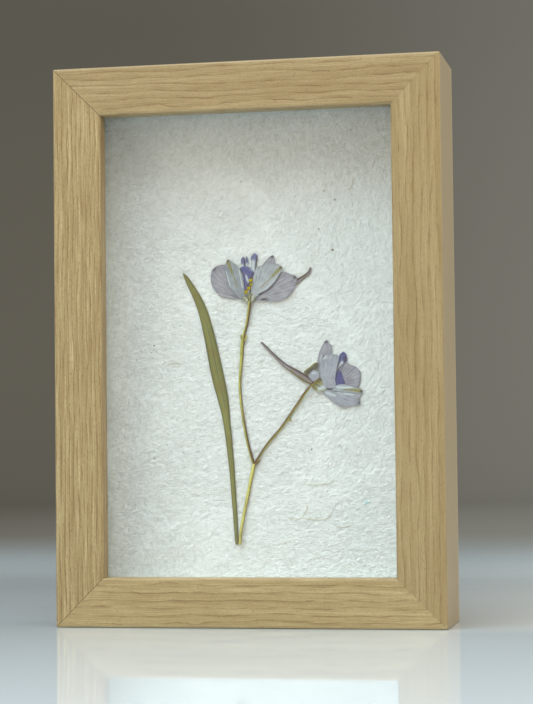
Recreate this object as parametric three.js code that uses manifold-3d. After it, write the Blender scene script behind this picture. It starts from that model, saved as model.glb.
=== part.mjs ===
// Pressed flower frame: a deep mitred frame that stands upright, with a pressed sprig behind glass.
// Millimetres, +Z up, the front faces -Y, and the origin is the bottom centre of the frame.
import * as THREE from "three";
import { mergeVertices } from "three/addons/utils/BufferGeometryUtils.js";
import Module from "manifold-3d";

const wasm = await Module();
wasm.setup();

// Frame, outside sizes
const FRAME_WIDTH = 126;
const FRAME_HEIGHT = 180;
const FRAME_DEPTH = 32;

// Moulding: a flat face, a lip in front of the glass and a deep side wall behind it
const FACE_WIDTH = 15.8;
const LIP_DEPTH = 6;
const LIP_OVERLAP = 5;
const ARRIS_RADIUS = 1;
const REAR_ARRIS_RADIUS = 0.5;
const MITRE_SETBACK = 0.2;
const WALL = FACE_WIDTH - LIP_OVERLAP;

// What lies in the rabbet, from the front to the back, with its depth behind the front face
const FIT_GAP = 0.3;
const LAYER_GAP = 0.2;
const GLASS_THICKNESS = 2;
const GLASS_DEPTH = LIP_DEPTH + LAYER_GAP;
const SPACER_DEPTH = GLASS_DEPTH + GLASS_THICKNESS + LAYER_GAP;
const SPACER_THICKNESS = 1.2;
const PAPER_DEPTH = 18;
const PAPER_THICKNESS = 0.8;
const CARD_DEPTH = PAPER_DEPTH + PAPER_THICKNESS + LAYER_GAP;
const CARD_THICKNESS = 1.5;
const BOARD_DEPTH = CARD_DEPTH + CARD_THICKNESS + LAYER_GAP;
const BOARD_THICKNESS = 3;

// Metal tabs that hold the back in: each is driven into a slit in the side wall
const TAB_DEPTH = BOARD_DEPTH + BOARD_THICKNESS + LAYER_GAP;
const TAB_THICKNESS = 0.5;
const TAB_WIDTH = 7;
const TAB_BITE = 4.5;
const TAB_REACH = 7;
const TAB_CURL = 1.2;
const TAB_CURL_LENGTH = 2;
const SLIT_CLEARANCE = 0.15;
const TAB_FROM_CORNER = 45;

// Plant: thin sheets in layers that count forward from the paper
const SHEET = 0.3;
const LEAF_SHEET = 0.4;
const LAYER_PITCH = 0.4;
const FIRST_LAYER = 0.1;
const RIM_SEGMENTS = 3;
const RIBBON_STEPS = 30;
const STEM_SIDES = 10;
const STEM_STEPS_PER_MM = 0.8;
const BRACT_LENGTH = 2.2;
const BRACT_RADIUS = 0.4;
const ANTHER_FLATNESS = 0.5;

// Small allowances for joining and cutting
const WELD = 1e-4;
const SLIT_OVERRUN = 1;

const QUARTER = Math.PI / 2;
const FRONT = -FRAME_DEPTH / 2;
const PAPER_FRONT = FRONT + PAPER_DEPTH;
const INSIDE_WIDTH = FRAME_WIDTH - 2 * WALL;
const INSIDE_HEIGHT = FRAME_HEIGHT - 2 * WALL;

// Colours, roughness and metalness
const OAK_FOIL = [0xaf9c6f, 0.55, 0];
const FLOAT_GLASS = [0xe8f0ee, 0.05, 0];
const FOAM_STRIP = [0xe9ebe4, 0.9, 0];
const RAG_PAPER = [0xdfe7e1, 0.95, 0];
const GREY_CARD = [0xb9b2a2, 0.9, 0];
const FIBREBOARD = [0x8a6a48, 0.8, 0];
const TAB_STEEL = [0xb8babd, 0.35, 1];
const LEAF_GREEN = [0x7f8046, 0.7, 0];
const STEM_GREEN = [0x9c9444, 0.7, 0];
const PETAL_GREY = [0x9c9ba6, 0.8, 0];
const PETAL_PALE = [0xa7b3bd, 0.8, 0];
const PETAL_VIOLET = [0x5f5c98, 0.8, 0];
const SPUR_BROWN = [0x7c7274, 0.8, 0];
const ANTHER_YELLOW = [0xc8b400, 0.8, 0];
const CUP_GREEN = [0xb9be92, 0.75, 0];
const CALYX_OLIVE = [0x7a7040, 0.8, 0];

const frame = new THREE.Group();

function addMesh(parent, name, geometry, [color, roughness, metalness]) {
  const material = new THREE.MeshStandardMaterial({ color, roughness, metalness });
  const mesh = new THREE.Mesh(geometry, material);
  mesh.name = name;
  parent.add(mesh);
  return mesh;
}

function toSolid(geometry) {
  const bare = geometry.index ? geometry.toNonIndexed() : geometry.clone();
  bare.deleteAttribute("normal");
  bare.deleteAttribute("uv");
  const merged = mergeVertices(bare, WELD);
  const vertProperties = new Float32Array(merged.attributes.position.array);
  const triVerts = new Uint32Array(merged.index.array);
  return new wasm.Manifold(new wasm.Mesh({ numProp: 3, vertProperties, triVerts }));
}

function toGeometry(solid) {
  const made = solid.getMesh();
  const geometry = new THREE.BufferGeometry();
  geometry.setAttribute("position", new THREE.BufferAttribute(made.vertProperties, 3));
  geometry.setIndex(new THREE.BufferAttribute(made.triVerts, 1));
  geometry.computeVertexNormals();
  return geometry;
}

// The moulding's section: X runs from the outer edge towards the picture, Y runs from front to back.
function mouldingSection() {
  const section = new THREE.Shape();
  const sight = FACE_WIDTH - ARRIS_RADIUS;
  const heel = FRAME_DEPTH - REAR_ARRIS_RADIUS;
  section.absarc(ARRIS_RADIUS, ARRIS_RADIUS, ARRIS_RADIUS, 2 * QUARTER, 3 * QUARTER, false);
  section.absarc(sight, ARRIS_RADIUS, ARRIS_RADIUS, 3 * QUARTER, 4 * QUARTER, false);
  section.lineTo(FACE_WIDTH, LIP_DEPTH);
  section.lineTo(WALL, LIP_DEPTH);
  section.lineTo(WALL, FRAME_DEPTH);
  section.absarc(REAR_ARRIS_RADIUS, heel, REAR_ARRIS_RADIUS, QUARTER, 2 * QUARTER, false);
  return section;
}

// A length of moulding along Z. At both ends each point moves in by its distance from the outer edge.
function mitredRail(length) {
  const geometry = new THREE.ExtrudeGeometry(mouldingSection(), {
    depth: length,
    bevelEnabled: false,
    curveSegments: RIM_SEGMENTS,
  });
  const points = geometry.attributes.position;
  for (let i = 0; i < points.count; i += 1) {
    const setIn = points.getX(i) + MITRE_SETBACK;
    points.setZ(i, points.getZ(i) > length / 2 ? length - setIn : setIn);
  }
  return geometry;
}

function tabSlit(along) {
  const bite = TAB_BITE + SLIT_CLEARANCE + SLIT_OVERRUN;
  const height = TAB_THICKNESS + 2 * SLIT_CLEARANCE;
  const slit = new THREE.BoxGeometry(bite, height, TAB_WIDTH + 2 * SLIT_CLEARANCE);
  slit.translate(WALL + SLIT_OVERRUN - bite / 2, TAB_DEPTH + TAB_THICKNESS / 2, along);
  return slit;
}

// A flat blade whose free end curls away from the backboard.
function tabBlade(along) {
  const root = WALL - TAB_BITE;
  const tip = WALL + TAB_REACH;
  const blade = new THREE.Shape();
  blade.moveTo(root, TAB_DEPTH);
  blade.lineTo(tip - TAB_CURL_LENGTH, TAB_DEPTH);
  blade.lineTo(tip, TAB_DEPTH + TAB_CURL);
  blade.lineTo(tip, TAB_DEPTH + TAB_CURL + TAB_THICKNESS);
  blade.lineTo(tip - TAB_CURL_LENGTH, TAB_DEPTH + TAB_THICKNESS);
  blade.lineTo(root, TAB_DEPTH + TAB_THICKNESS);
  const geometry = new THREE.ExtrudeGeometry(blade, { depth: TAB_WIDTH, bevelEnabled: false });
  return geometry.translate(0, 0, along - TAB_WIDTH / 2);
}

// One side of the frame: its rail, with slits, and the tabs in them, turned about the depth axis.
function addSide(name, length, quarterTurns, corner, tabs) {
  const side = new THREE.Group();
  side.position.set(...corner);
  side.rotation.y = quarterTurns * QUARTER;
  let rail = toSolid(mitredRail(length));
  for (const [tabName, along] of Object.entries(tabs)) {
    rail = rail.subtract(toSolid(tabSlit(along)));
    addMesh(side, tabName, tabBlade(along), TAB_STEEL);
  }
  addMesh(side, name, toGeometry(rail), OAK_FOIL);
  frame.add(side);
}

const EDGE = FRAME_WIDTH / 2;
addSide("rail_left", FRAME_HEIGHT, 0, [-EDGE, FRONT, 0], {
  tab_left_low: TAB_FROM_CORNER,
  tab_left_high: FRAME_HEIGHT - TAB_FROM_CORNER,
});
addSide("rail_top", FRAME_WIDTH, 1, [-EDGE, FRONT, FRAME_HEIGHT], { tab_top: EDGE });
addSide("rail_right", FRAME_HEIGHT, 2, [EDGE, FRONT, FRAME_HEIGHT], {
  tab_right_high: TAB_FROM_CORNER,
  tab_right_low: FRAME_HEIGHT - TAB_FROM_CORNER,
});
addSide("rail_bottom", FRAME_WIDTH, 3, [EDGE, FRONT, 0], { tab_bottom: EDGE });

// A flat pane, sheet or board that fills the rabbet with a small gap all round.
function addPanel(name, depth, thickness, look) {
  const width = INSIDE_WIDTH - 2 * FIT_GAP;
  const height = INSIDE_HEIGHT - 2 * FIT_GAP;
  const panel = addMesh(frame, name, new THREE.BoxGeometry(width, thickness, height), look);
  panel.position.set(0, FRONT + depth + thickness / 2, FRAME_HEIGHT / 2);
}

addPanel("glass_pane", GLASS_DEPTH, GLASS_THICKNESS, FLOAT_GLASS);
addPanel("rag_paper", PAPER_DEPTH, PAPER_THICKNESS, RAG_PAPER);
addPanel("mount_card", CARD_DEPTH, CARD_THICKNESS, GREY_CARD);
addPanel("backboard", BOARD_DEPTH, BOARD_THICKNESS, FIBREBOARD);

// Spacer strips stand on edge between the glass and the paper: the upright ones run the full height.
function addSpacer(name, width, height, x, z) {
  const depth = PAPER_DEPTH - LAYER_GAP - SPACER_DEPTH;
  const strip = addMesh(frame, name, new THREE.BoxGeometry(width, depth, height), FOAM_STRIP);
  strip.position.set(x, FRONT + SPACER_DEPTH + depth / 2, z);
}

const SPACER_X = INSIDE_WIDTH / 2 - FIT_GAP - SPACER_THICKNESS / 2;
const SPACER_Z = INSIDE_HEIGHT / 2 - FIT_GAP - SPACER_THICKNESS / 2;
const SPACER_HEIGHT = INSIDE_HEIGHT - 2 * FIT_GAP;
const SPACER_WIDTH = INSIDE_WIDTH - 4 * FIT_GAP - 2 * SPACER_THICKNESS;
addSpacer("spacer_left", SPACER_THICKNESS, SPACER_HEIGHT, -SPACER_X, FRAME_HEIGHT / 2);
addSpacer("spacer_right", SPACER_THICKNESS, SPACER_HEIGHT, SPACER_X, FRAME_HEIGHT / 2);
addSpacer("spacer_top", SPACER_WIDTH, SPACER_THICKNESS, 0, FRAME_HEIGHT / 2 + SPACER_Z);
addSpacer("spacer_bottom", SPACER_WIDTH, SPACER_THICKNESS, 0, FRAME_HEIGHT / 2 - SPACER_Z);

// Lays a flat outline, drawn as X and Z, on a layer above the paper.
function addSheet(name, outline, layer, thickness, look) {
  const geometry = new THREE.ExtrudeGeometry(outline, {
    depth: thickness,
    bevelEnabled: false,
    curveSegments: RIM_SEGMENTS,
  });
  const sheet = addMesh(frame, name, geometry, look);
  sheet.rotation.x = QUARTER;
  sheet.position.y = PAPER_FRONT - FIRST_LAYER - layer * LAYER_PITCH;
}

// A petal: a smooth rim that leaves its claw, where it grew from the flower, and comes back to it.
function addPetal(name, layer, look, claw, rim) {
  const outline = new THREE.Shape();
  outline.moveTo(...claw);
  outline.splineThru([...rim, claw].map(([x, z]) => new THREE.Vector2(x, z)));
  addSheet(name, outline, layer, SHEET, look);
}

// A narrow strip along a curve: each station gives X, Z and half the width there.
function addRibbon(name, layer, thickness, look, stations) {
  const midrib = new THREE.CatmullRomCurve3(stations.map((s) => new THREE.Vector3(...s)));
  const near = [];
  const far = [];
  for (let i = 0; i <= RIBBON_STEPS; i += 1) {
    const { x, y, z: half } = midrib.getPoint(i / RIBBON_STEPS);
    const along = midrib.getTangent(i / RIBBON_STEPS);
    const across = new THREE.Vector2(-along.y, along.x).setLength(half);
    near.push(new THREE.Vector2(x, y).add(across));
    far.unshift(new THREE.Vector2(x, y).sub(across));
  }
  addSheet(name, new THREE.Shape([...near, ...far]), layer, thickness, look);
}

// A small pointed bract that leaves the stem at a point, in the direction of lean.
function bract(point, lean) {
  const up = new THREE.Vector3(0, 1, 0);
  const direction = new THREE.Vector3(...lean).normalize();
  const cone = new THREE.ConeGeometry(BRACT_RADIUS, BRACT_LENGTH, STEM_SIDES);
  cone.translate(0, BRACT_LENGTH / 2, 0);
  cone.applyQuaternion(new THREE.Quaternion().setFromUnitVectors(up, direction));
  return cone.translate(...point);
}

// A round stem along a smooth curve through points in space, with its bracts grown on.
function addStem(name, radius, points, bracts) {
  const path = new THREE.CatmullRomCurve3(points.map((p) => new THREE.Vector3(...p)));
  const section = new THREE.Shape();
  section.absarc(0, 0, radius, 0, 4 * QUARTER, false);
  const tube = new THREE.ExtrudeGeometry(section, {
    steps: Math.ceil(path.getLength() * STEM_STEPS_PER_MM),
    curveSegments: STEM_SIDES / 2,
    extrudePath: path,
  });
  let stem = toSolid(tube);
  for (const [point, lean] of bracts) stem = stem.add(toSolid(bract(point, lean)));
  addMesh(frame, name, toGeometry(stem), STEM_GREEN);
}

// Long narrow leaf, tip first
addRibbon("leaf", 0, LEAF_SHEET, LEAF_GREEN, [
  [-24.4, 114.2, 0.15],
  [-22.6, 111.4, 0.8],
  [-18.5, 103.4, 1.4],
  [-16, 94.8, 1.7],
  [-13.1, 80.8, 2],
  [-11.2, 72.3, 1.7],
  [-10.2, 65.8, 1.2],
  [-8.8, 52.6, 0.9],
  [-7.9, 39.2, 0.75],
  [-7.1, 25.6, 0.6],
]);

// Stem, split at its fork. It lies on the paper, and rises over the cut end of the leaf.
const STEM_Y = PAPER_FRONT - 0.7;
const STEM_Y_OVER_LEAF = PAPER_FRONT - 1.2;
const STEM_Y_OVER_CUP = PAPER_FRONT - 1.8;
const STEM_Y_OVER_PETAL = PAPER_FRONT - 2.2;
addStem("stem_lower", 0.52, [
  [-6.05, STEM_Y_OVER_LEAF, 25.5],
  [-5.35, STEM_Y_OVER_LEAF, 31.6],
  [-3.35, STEM_Y, 41.5],
  [-1.15, STEM_Y, 51.2],
], [[[-1.1, STEM_Y, 50.9], [1.9, 0, 2.2]]]);
addStem("stem_left", 0.48, [
  [-1.4, STEM_Y, 52.1],
  [-3.3, STEM_Y, 58.9],
  [-4.9, STEM_Y, 68.6],
  [-5.6, STEM_Y, 76.8],
  [-4.7, STEM_Y, 87.4],
  [-3, STEM_Y, 97.3],
  [-2.1, STEM_Y, 103.2],
], [
  [[-4.5, STEM_Y, 91.4], [-0.5, 0, 2]],
  [[-4.2, STEM_Y, 91.6], [1.1, 0, 2]],
]);
addStem("stem_right", 0.42, [
  [-0.4, STEM_Y, 52.3],
  [3.1, STEM_Y, 57.7],
  [8.2, STEM_Y, 63.6],
  [13.8, STEM_Y, 71.4],
  [16.4, STEM_Y_OVER_CUP, 74.8],
  [18.1, STEM_Y_OVER_PETAL, 76.7],
  [21.2, STEM_Y_OVER_PETAL, 79.2],
], [[[10.5, STEM_Y, 66.1], [1.6, 0, 1]]]);

// Upper flower, from the back to the front
addPetal("upper_petal_outer_left", 0, PETAL_GREY, [-3.7, 104.8], [
  [-5.6, 105.6],
  [-8.2, 105.9],
  [-11.1, 105.9],
  [-13.2, 107.4],
  [-14.8, 110.6],
  [-14.9, 113.8],
  [-14.2, 115.3],
  [-10, 116.3],
  [-6.5, 112],
]);
addPetal("upper_petal_rear", 0, PETAL_GREY, [0.1, 107.1], [
  [1.6, 114],
  [2.6, 116.5],
  [3.9, 117.8],
  [5.6, 119.1],
  [6.5, 117.6],
  [6.2, 113.5],
]);
addRibbon("upper_spur", 0, SHEET, SPUR_BROWN, [
  [11.5, 109.1, 0.9],
  [13.5, 110.3, 0.7],
  [16.1, 112, 0.42],
  [17.7, 113.3, 0.36],
  [18.2, 114.8, 0.2],
]);
addPetal("upper_petal_outer_right", 1, PETAL_GREY, [-0.35, 105], [
  [0.75, 104.5],
  [5.85, 104.2],
  [8.75, 104.6],
  [12.05, 107],
  [13.45, 110.4],
  [13.25, 112],
  [10.65, 113.2],
  [8.55, 113.5],
  [5.15, 110.6],
]);
addPetal("upper_violet_lobe_left", 0, PETAL_VIOLET, [-3.8, 114.8], [
  [-4.6, 116.1],
  [-4.9, 117.6],
  [-4.5, 118.6],
  [-3.9, 118.8],
  [-3.5, 117.8],
  [-3.5, 116.1],
]);
addPetal("upper_violet_lobe_middle", 0, PETAL_VIOLET, [-2.9, 114.9], [
  [-3.3, 116.2],
  [-3.3, 117.7],
  [-3, 119],
  [-2.5, 118],
  [-2.5, 116.4],
]);
addPetal("upper_violet_lobe_right", 0, PETAL_VIOLET, [-0.4, 113], [
  [-1.5, 114.6],
  [-1.5, 116.8],
  [-1.5, 118.5],
  [-0.5, 119.9],
  [0.5, 119.3],
  [0.7, 118.2],
  [0.3, 117],
  [0.1, 114.4],
]);
addPetal("upper_violet_body", 1, PETAL_VIOLET, [-3.7, 107], [
  [-4.2, 109.5],
  [-4.3, 112.6],
  [-5.3, 114.9],
  [-3.9, 115.8],
  [-2.3, 115.4],
  [-0.5, 113.5],
  [-1.2, 111.8],
  [-2.6, 109.4],
]);
addPetal("upper_petal_inner_left", 2, PETAL_PALE, [-3.25, 104.1], [
  [-5.55, 105.6],
  [-7.25, 106.5],
  [-8.65, 108.7],
  [-10.05, 113.8],
  [-9.95, 116.2],
  [-9.15, 118.2],
  [-7.25, 116.8],
  [-5.55, 115.1],
  [-4.35, 113.3],
  [-4.05, 111],
  [-4.15, 106.6],
]);
addPetal("upper_petal_inner_right", 2, PETAL_PALE, [-1.05, 104.9], [
  [-1.45, 107.1],
  [-1.05, 110],
  [-0.35, 113.4],
  [0.65, 115.3],
  [3.65, 116.5],
  [5.55, 116.4],
  [8.65, 115.4],
  [8.85, 114],
  [6.65, 110.3],
  [4.15, 107.8],
  [1.15, 106.3],
]);
addPetal("upper_cup", 3, CUP_GREEN, [-2.1, 103.6], [
  [-3.6, 104.4],
  [-4.2, 105.9],
  [-2.8, 105.7],
  [-2.1, 106.4],
  [-1.2, 106.8],
  [-0.3, 105.9],
  [-0.3, 104.7],
]);

// A pollen sac: a flattened bead in front of the inner petals.
const ANTHER_Y = PAPER_FRONT - 2;
function addAnther(name, radius, x, z) {
  const bead = new THREE.SphereGeometry(radius, STEM_SIDES, STEM_SIDES);
  bead.scale(1, ANTHER_FLATNESS, 1);
  addMesh(frame, name, bead, ANTHER_YELLOW).position.set(x, ANTHER_Y, z);
}
addAnther("anther_1", 0.62, -1.55, 111);
addAnther("anther_2", 0.52, -1.45, 109.7);
addAnther("anther_3", 0.62, -2.2, 108.5);
addAnther("anther_4", 0.66, -3.1, 107.3);

// Lower flower, from the back to the front
addPetal("lower_petal_top", 0, PETAL_GREY, [20.9, 81], [
  [20, 83.3],
  [20.1, 85.3],
  [20.8, 87.7],
  [21.7, 89.6],
  [23, 91],
  [24.2, 90],
  [24.8, 88.2],
  [24.3, 85.4],
]);
addPetal("lower_petal_right", 0, PETAL_GREY, [26.3, 77], [
  [26.9, 82],
  [27.9, 83],
  [29.5, 83.7],
  [31.4, 82.9],
  [33.4, 81.7],
  [34.1, 80.7],
  [34, 79],
  [33.5, 76.9],
  [32.3, 75.5],
]);
addPetal("lower_violet_lobe", 1, PETAL_VIOLET, [26.75, 82], [
  [26.85, 84.2],
  [27.25, 86.2],
  [28.35, 87.3],
  [29.25, 86.8],
  [29.75, 85.3],
  [29.45, 84.1],
  [28.45, 83.6],
]);
addPetal("lower_violet_wedge", 1, PETAL_VIOLET, [26.85, 81.7], [
  [27.65, 80.9],
  [28.35, 79.4],
  [28.85, 76.7],
  [27.15, 76.2],
  [25.55, 76.7],
  [26.05, 79.9],
]);
addRibbon("lower_spur", 1, LEAF_SHEET, SPUR_BROWN, [
  [1.55, 91, 0.25],
  [3.85, 88.6, 0.42],
  [5.95, 86.5, 0.6],
  [9.15, 83.5, 0.85],
  [11.95, 81.6, 1],
  [14.75, 79.8, 1.15],
  [17.05, 78.2, 0.9],
]);
addPetal("lower_petal_bottom", 1, PETAL_PALE, [21.05, 75.2], [
  [25.15, 75.3],
  [30.15, 75],
  [34.55, 74.1],
  [33.85, 72.9],
  [33.25, 71.9],
  [33.85, 71],
  [33.35, 70.4],
  [29.65, 69.7],
  [27.25, 69.9],
  [25.25, 71],
  [22.25, 73.7],
]);
addPetal("lower_calyx", 2, CALYX_OLIVE, [16.35, 80], [
  [15.55, 81.1],
  [17.25, 82.8],
  [19.45, 84.2],
  [20.35, 83.6],
  [19.95, 82.1],
  [18.05, 80.8],
  [17.35, 79.5],
]);
addPetal("lower_cup", 2, CUP_GREEN, [17.95, 76.6], [
  [19.35, 77.8],
  [20.95, 78.3],
  [22.35, 76.9],
  [22.95, 75.4],
  [20.95, 74.5],
  [19.05, 75.2],
]);
addPetal("lower_petal_folded", 3, PETAL_PALE, [24.5, 75], [
  [26.1, 76.5],
  [28.9, 76.9],
  [32.6, 75.7],
  [34.5, 75],
  [34.9, 74.4],
  [34.4, 74],
  [30.3, 74.2],
]);
addPetal("lower_petal_middle", 4, PETAL_GREY, [22.95, 75.7], [
  [21.95, 77.2],
  [21.15, 79.3],
  [20.75, 81.9],
  [21.55, 85.4],
  [22.55, 86.4],
  [26.75, 86.2],
  [26.95, 83.6],
  [26.25, 80.8],
  [25.85, 78.6],
  [25.95, 76.3],
  [24.85, 75.6],
]);
addPetal("lower_petal_small", 3, PETAL_PALE, [18.4, 78.1], [
  [17.5, 79],
  [17.3, 80.3],
  [18.2, 81.4],
  [19.6, 81.5],
  [20.6, 80.6],
  [20.6, 79.1],
  [19.6, 78.1],
]);

export default frame;
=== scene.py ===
# %% [markdown]
# A pressed flower frame
#
# The object is a deep little picture frame that stands on a table. Behind its glass lies a sheet of
# handmade paper with one pressed sprig: a leaf, a forked stem and two spurred flowers.
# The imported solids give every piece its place. Here each visible piece gets its fine surface and
# its finish. We work in metres, with the front of the frame towards -Y and the table at Z = 0.

# %% Load the frame
import math

import bmesh
import bpy
import numpy as np
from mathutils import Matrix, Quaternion, Vector


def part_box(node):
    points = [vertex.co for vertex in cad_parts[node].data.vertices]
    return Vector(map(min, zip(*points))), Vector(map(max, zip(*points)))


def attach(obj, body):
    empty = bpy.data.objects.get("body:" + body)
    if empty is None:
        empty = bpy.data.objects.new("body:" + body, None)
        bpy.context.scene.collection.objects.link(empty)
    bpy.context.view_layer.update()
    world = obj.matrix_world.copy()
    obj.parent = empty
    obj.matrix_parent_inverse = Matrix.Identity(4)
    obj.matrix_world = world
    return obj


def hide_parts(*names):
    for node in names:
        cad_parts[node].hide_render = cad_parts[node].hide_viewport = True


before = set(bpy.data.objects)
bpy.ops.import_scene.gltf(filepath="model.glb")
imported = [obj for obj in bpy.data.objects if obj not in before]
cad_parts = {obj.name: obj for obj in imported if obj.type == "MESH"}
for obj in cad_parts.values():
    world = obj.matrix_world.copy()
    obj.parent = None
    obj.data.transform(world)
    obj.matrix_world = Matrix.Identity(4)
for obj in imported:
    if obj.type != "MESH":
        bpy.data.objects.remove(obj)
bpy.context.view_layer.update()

MM = 0.001

# %% [markdown]
# Tools for materials
#
# A material is a small graph of nodes. One function adds a node, sets its properties and connects
# its inputs, so that each material below reads as a list of steps. Colours are written as on a
# paint chart, in sRGB hex, and one function turns them to the linear light that shaders work in.

# %% Colour and node helpers
def linear(hex_colour):
    """sRGB hex to linear RGBA. A channel c is c / 12.92 in the dark part of the curve, and
    ((c + 0.055) / 1.055) to the power 2.4 above it."""
    channels = [int(hex_colour[i:i + 2], 16) / 255 for i in (1, 3, 5)]
    curve = [c / 12.92 if c <= 0.04045 else ((c + 0.055) / 1.055) ** 2.4 for c in channels]
    return (*curve, 1.0)


def add(tree, kind, inputs=None, stops=None, **settings):
    """Adds a node. settings are its properties, inputs are values or sockets to link from, and
    stops are the places and colours of a colour ramp. Gives back its first output, if any."""
    node = tree.nodes.new(kind)
    for key, value in settings.items():
        setattr(node, key, value)
    for key, value in (inputs or {}).items():
        if isinstance(value, bpy.types.NodeSocket):
            tree.links.new(value, node.inputs[key])
        else:
            node.inputs[key].default_value = value
    if stops:
        ramp = node.color_ramp
        while len(ramp.elements) < len(stops):
            ramp.elements.new(0.5)
        for element, (place, colour) in zip(ramp.elements, stops):
            element.position = place
            element.color = colour
    return node.outputs[0] if node.outputs else None


def new_material(name, **skin_values):
    """An empty material with one Principled skin. Plain values go straight on its sockets."""
    material = bpy.data.materials.new(name)
    material.use_nodes = True
    tree = material.node_tree
    tree.nodes.clear()
    values = {key.replace("_", " "): value for key, value in skin_values.items()}
    skin = add(tree, "ShaderNodeBsdfPrincipled", values)
    add(tree, "ShaderNodeOutputMaterial", {"Surface": skin})
    return material, tree, skin.node


def connect(tree, skin, **results):
    """Links what the nodes worked out to the sockets of the skin, by name."""
    for key, socket in results.items():
        tree.links.new(socket, skin.inputs[key.replace("_", " ")])


def two_tone(name, dark, light, scale, roughness=0.9, specular=0.2, detail=2.0):
    """The finish of a small plain piece: noise blends two close tones. scale is the number of
    clouds in a metre, so 1000 gives clouds of a millimetre."""
    material, tree, skin = new_material(name, Roughness=roughness, Specular_IOR_Level=specular)
    place = add(tree, "ShaderNodeTexCoord").node.outputs["Object"]
    tint = add(tree, "ShaderNodeTexNoise", {"Vector": place, "Scale": scale, "Detail": detail})
    colour = add(tree, "ShaderNodeValToRGB", {"Fac": tint}, stops=[
        (0.35, linear(dark)), (0.65, linear(light))])
    connect(tree, skin, Base_Color=colour)
    return material


print("middle grey on a chart is", round(linear("#808080")[0], 3), "in linear light")

# %% [markdown]
# Tools for shapes
#
# Every piece is a surface worked out as whole arrays. A thin sheet, such as a petal or the paper,
# is a grid of points with a thickness. A stem is a section carried along a path. A pollen sac is a
# ball whose radius changes with direction. The helpers below turn such arrays into closed meshes.

# %% Grids and closed bodies
def quads(rows, cols, wrap=False):
    """Faces of a grid: each joins point (i, j) to its neighbours. wrap closes the columns."""
    index = np.arange(rows * cols).reshape(rows, cols)
    if wrap:
        index = np.hstack([index, index[:, :1]])
    corners = (index[:-1, :-1], index[1:, :-1], index[1:, 1:], index[:-1, 1:])
    return np.stack([c.ravel() for c in corners], axis=1)


def border_loop(rows, cols):
    """The points of a grid's border, once round."""
    index = np.arange(rows * cols).reshape(rows, cols)
    return np.concatenate([index[0, :-1], index[:-1, -1], index[-1, :0:-1], index[:0:-1, 0]])


def sheet_body(mid, thickness):
    """A sheet with two sides: the middle surface moved half the thickness to the front and half to
    the back, with a strip that joins both along the border."""
    rows, cols = mid.shape[:2]
    half = np.zeros_like(mid)
    half[..., 1] = np.asarray(thickness) / 2
    points = np.concatenate([(mid - half).reshape(-1, 3), (mid + half).reshape(-1, 3)])
    front = quads(rows, cols)
    border = border_loop(rows, cols)
    after = np.roll(border, -1)
    back = rows * cols
    strip = np.stack([border, after, after + back, border + back], axis=1)
    return points, np.concatenate([front, front[:, ::-1] + back, strip])


def make_piece(name, points, faces, material, replaces=(), data=None, sharp=40.0, caps=()):
    """Puts arrays into a mesh, merges doubled points, turns the faces outwards and names the
    finish. data holds extra values at each point for the material to read."""
    mesh = bpy.data.meshes.new(name)
    mesh.from_pydata(points.tolist(), [], faces.tolist() + [list(cap) for cap in caps])
    for key, values in (data or {}).items():
        four = values.shape[1] == 4
        kind, field = ("FLOAT_COLOR", "color") if four else ("FLOAT_VECTOR", "vector")
        layer = mesh.attributes.new(key, kind, "POINT")
        layer.data.foreach_set(field, np.ascontiguousarray(values, dtype=np.float32).ravel())
    body = bmesh.new()
    body.from_mesh(mesh)
    bmesh.ops.remove_doubles(body, verts=body.verts, dist=1e-7)
    bmesh.ops.dissolve_degenerate(body, edges=body.edges, dist=1e-8)
    bmesh.ops.recalc_face_normals(body, faces=body.faces)
    body.to_mesh(mesh)
    body.free()
    mesh.shade_smooth()
    mesh.set_sharp_from_angle(angle=math.radians(sharp))
    mesh.materials.append(material)
    piece = bpy.data.objects.new(name, mesh)
    bpy.context.collection.objects.link(piece)
    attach(piece, "root")
    if replaces:
        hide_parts(*replaces)
    return piece


print("a grid of 3 by 4 points has", len(quads(3, 4)), "faces, closed", len(quads(3, 4, True)))

# %% [markdown]
# Curves through a few points
#
# The rim of a petal, the path of a stem and a loose thread are all given by a handful of points in
# millimetres. A curve object with handles would join them too. Here the curve is worked out as an
# array, because the surfaces below need many of its points, spread evenly by length.

# %% Smooth curves through points
def smooth_curve(knots, count):
    """A curve through the knots. Between two knots it is a cubic whose slopes are half the step
    between the neighbours on both sides. The result is spread evenly by length."""
    knots = np.asarray(knots, float)
    place = np.linspace(0, len(knots) - 1, 40 * len(knots))
    i = np.minimum(place.astype(int), len(knots) - 2)
    w = (place - i)[:, None]
    before, start = knots[np.maximum(i - 1, 0)], knots[i]
    end, after = knots[i + 1], knots[np.minimum(i + 2, len(knots) - 1)]
    slope0, slope1 = (end - before) / 2, (after - start) / 2
    curve = ((2 * start - 2 * end + slope0 + slope1) * w ** 3
             + (3 * end - 3 * start - 2 * slope0 - slope1) * w ** 2 + slope0 * w + start)
    step = np.linalg.norm(np.diff(curve[:, :2], axis=0), axis=1)
    length = np.concatenate([[0], np.cumsum(step)])
    even = np.linspace(0, length[-1], count)
    return np.stack([np.interp(even, length, curve[:, k]) for k in range(curve.shape[1])], axis=1)


print("middle of a curve over a corner:", smooth_curve([(0, 0), (1, 0), (1, 1)], 3)[1].round(2))

# %% [markdown]
# Oak-look foil
#
# The rails are not solid oak. A fibreboard moulding is wrapped in a printed foil with pressed-in
# pores: cheap, very even and slightly satin. The print has long light and dark bands, thin brown
# lines that wander a little, and short fine pores. It runs along each rail and bends round the
# edges with the foil, so the pattern reads a value stored on the mesh: millimetres along the rail
# and millimetres round the section. The back of the moulding is bare fibreboard.

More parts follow.
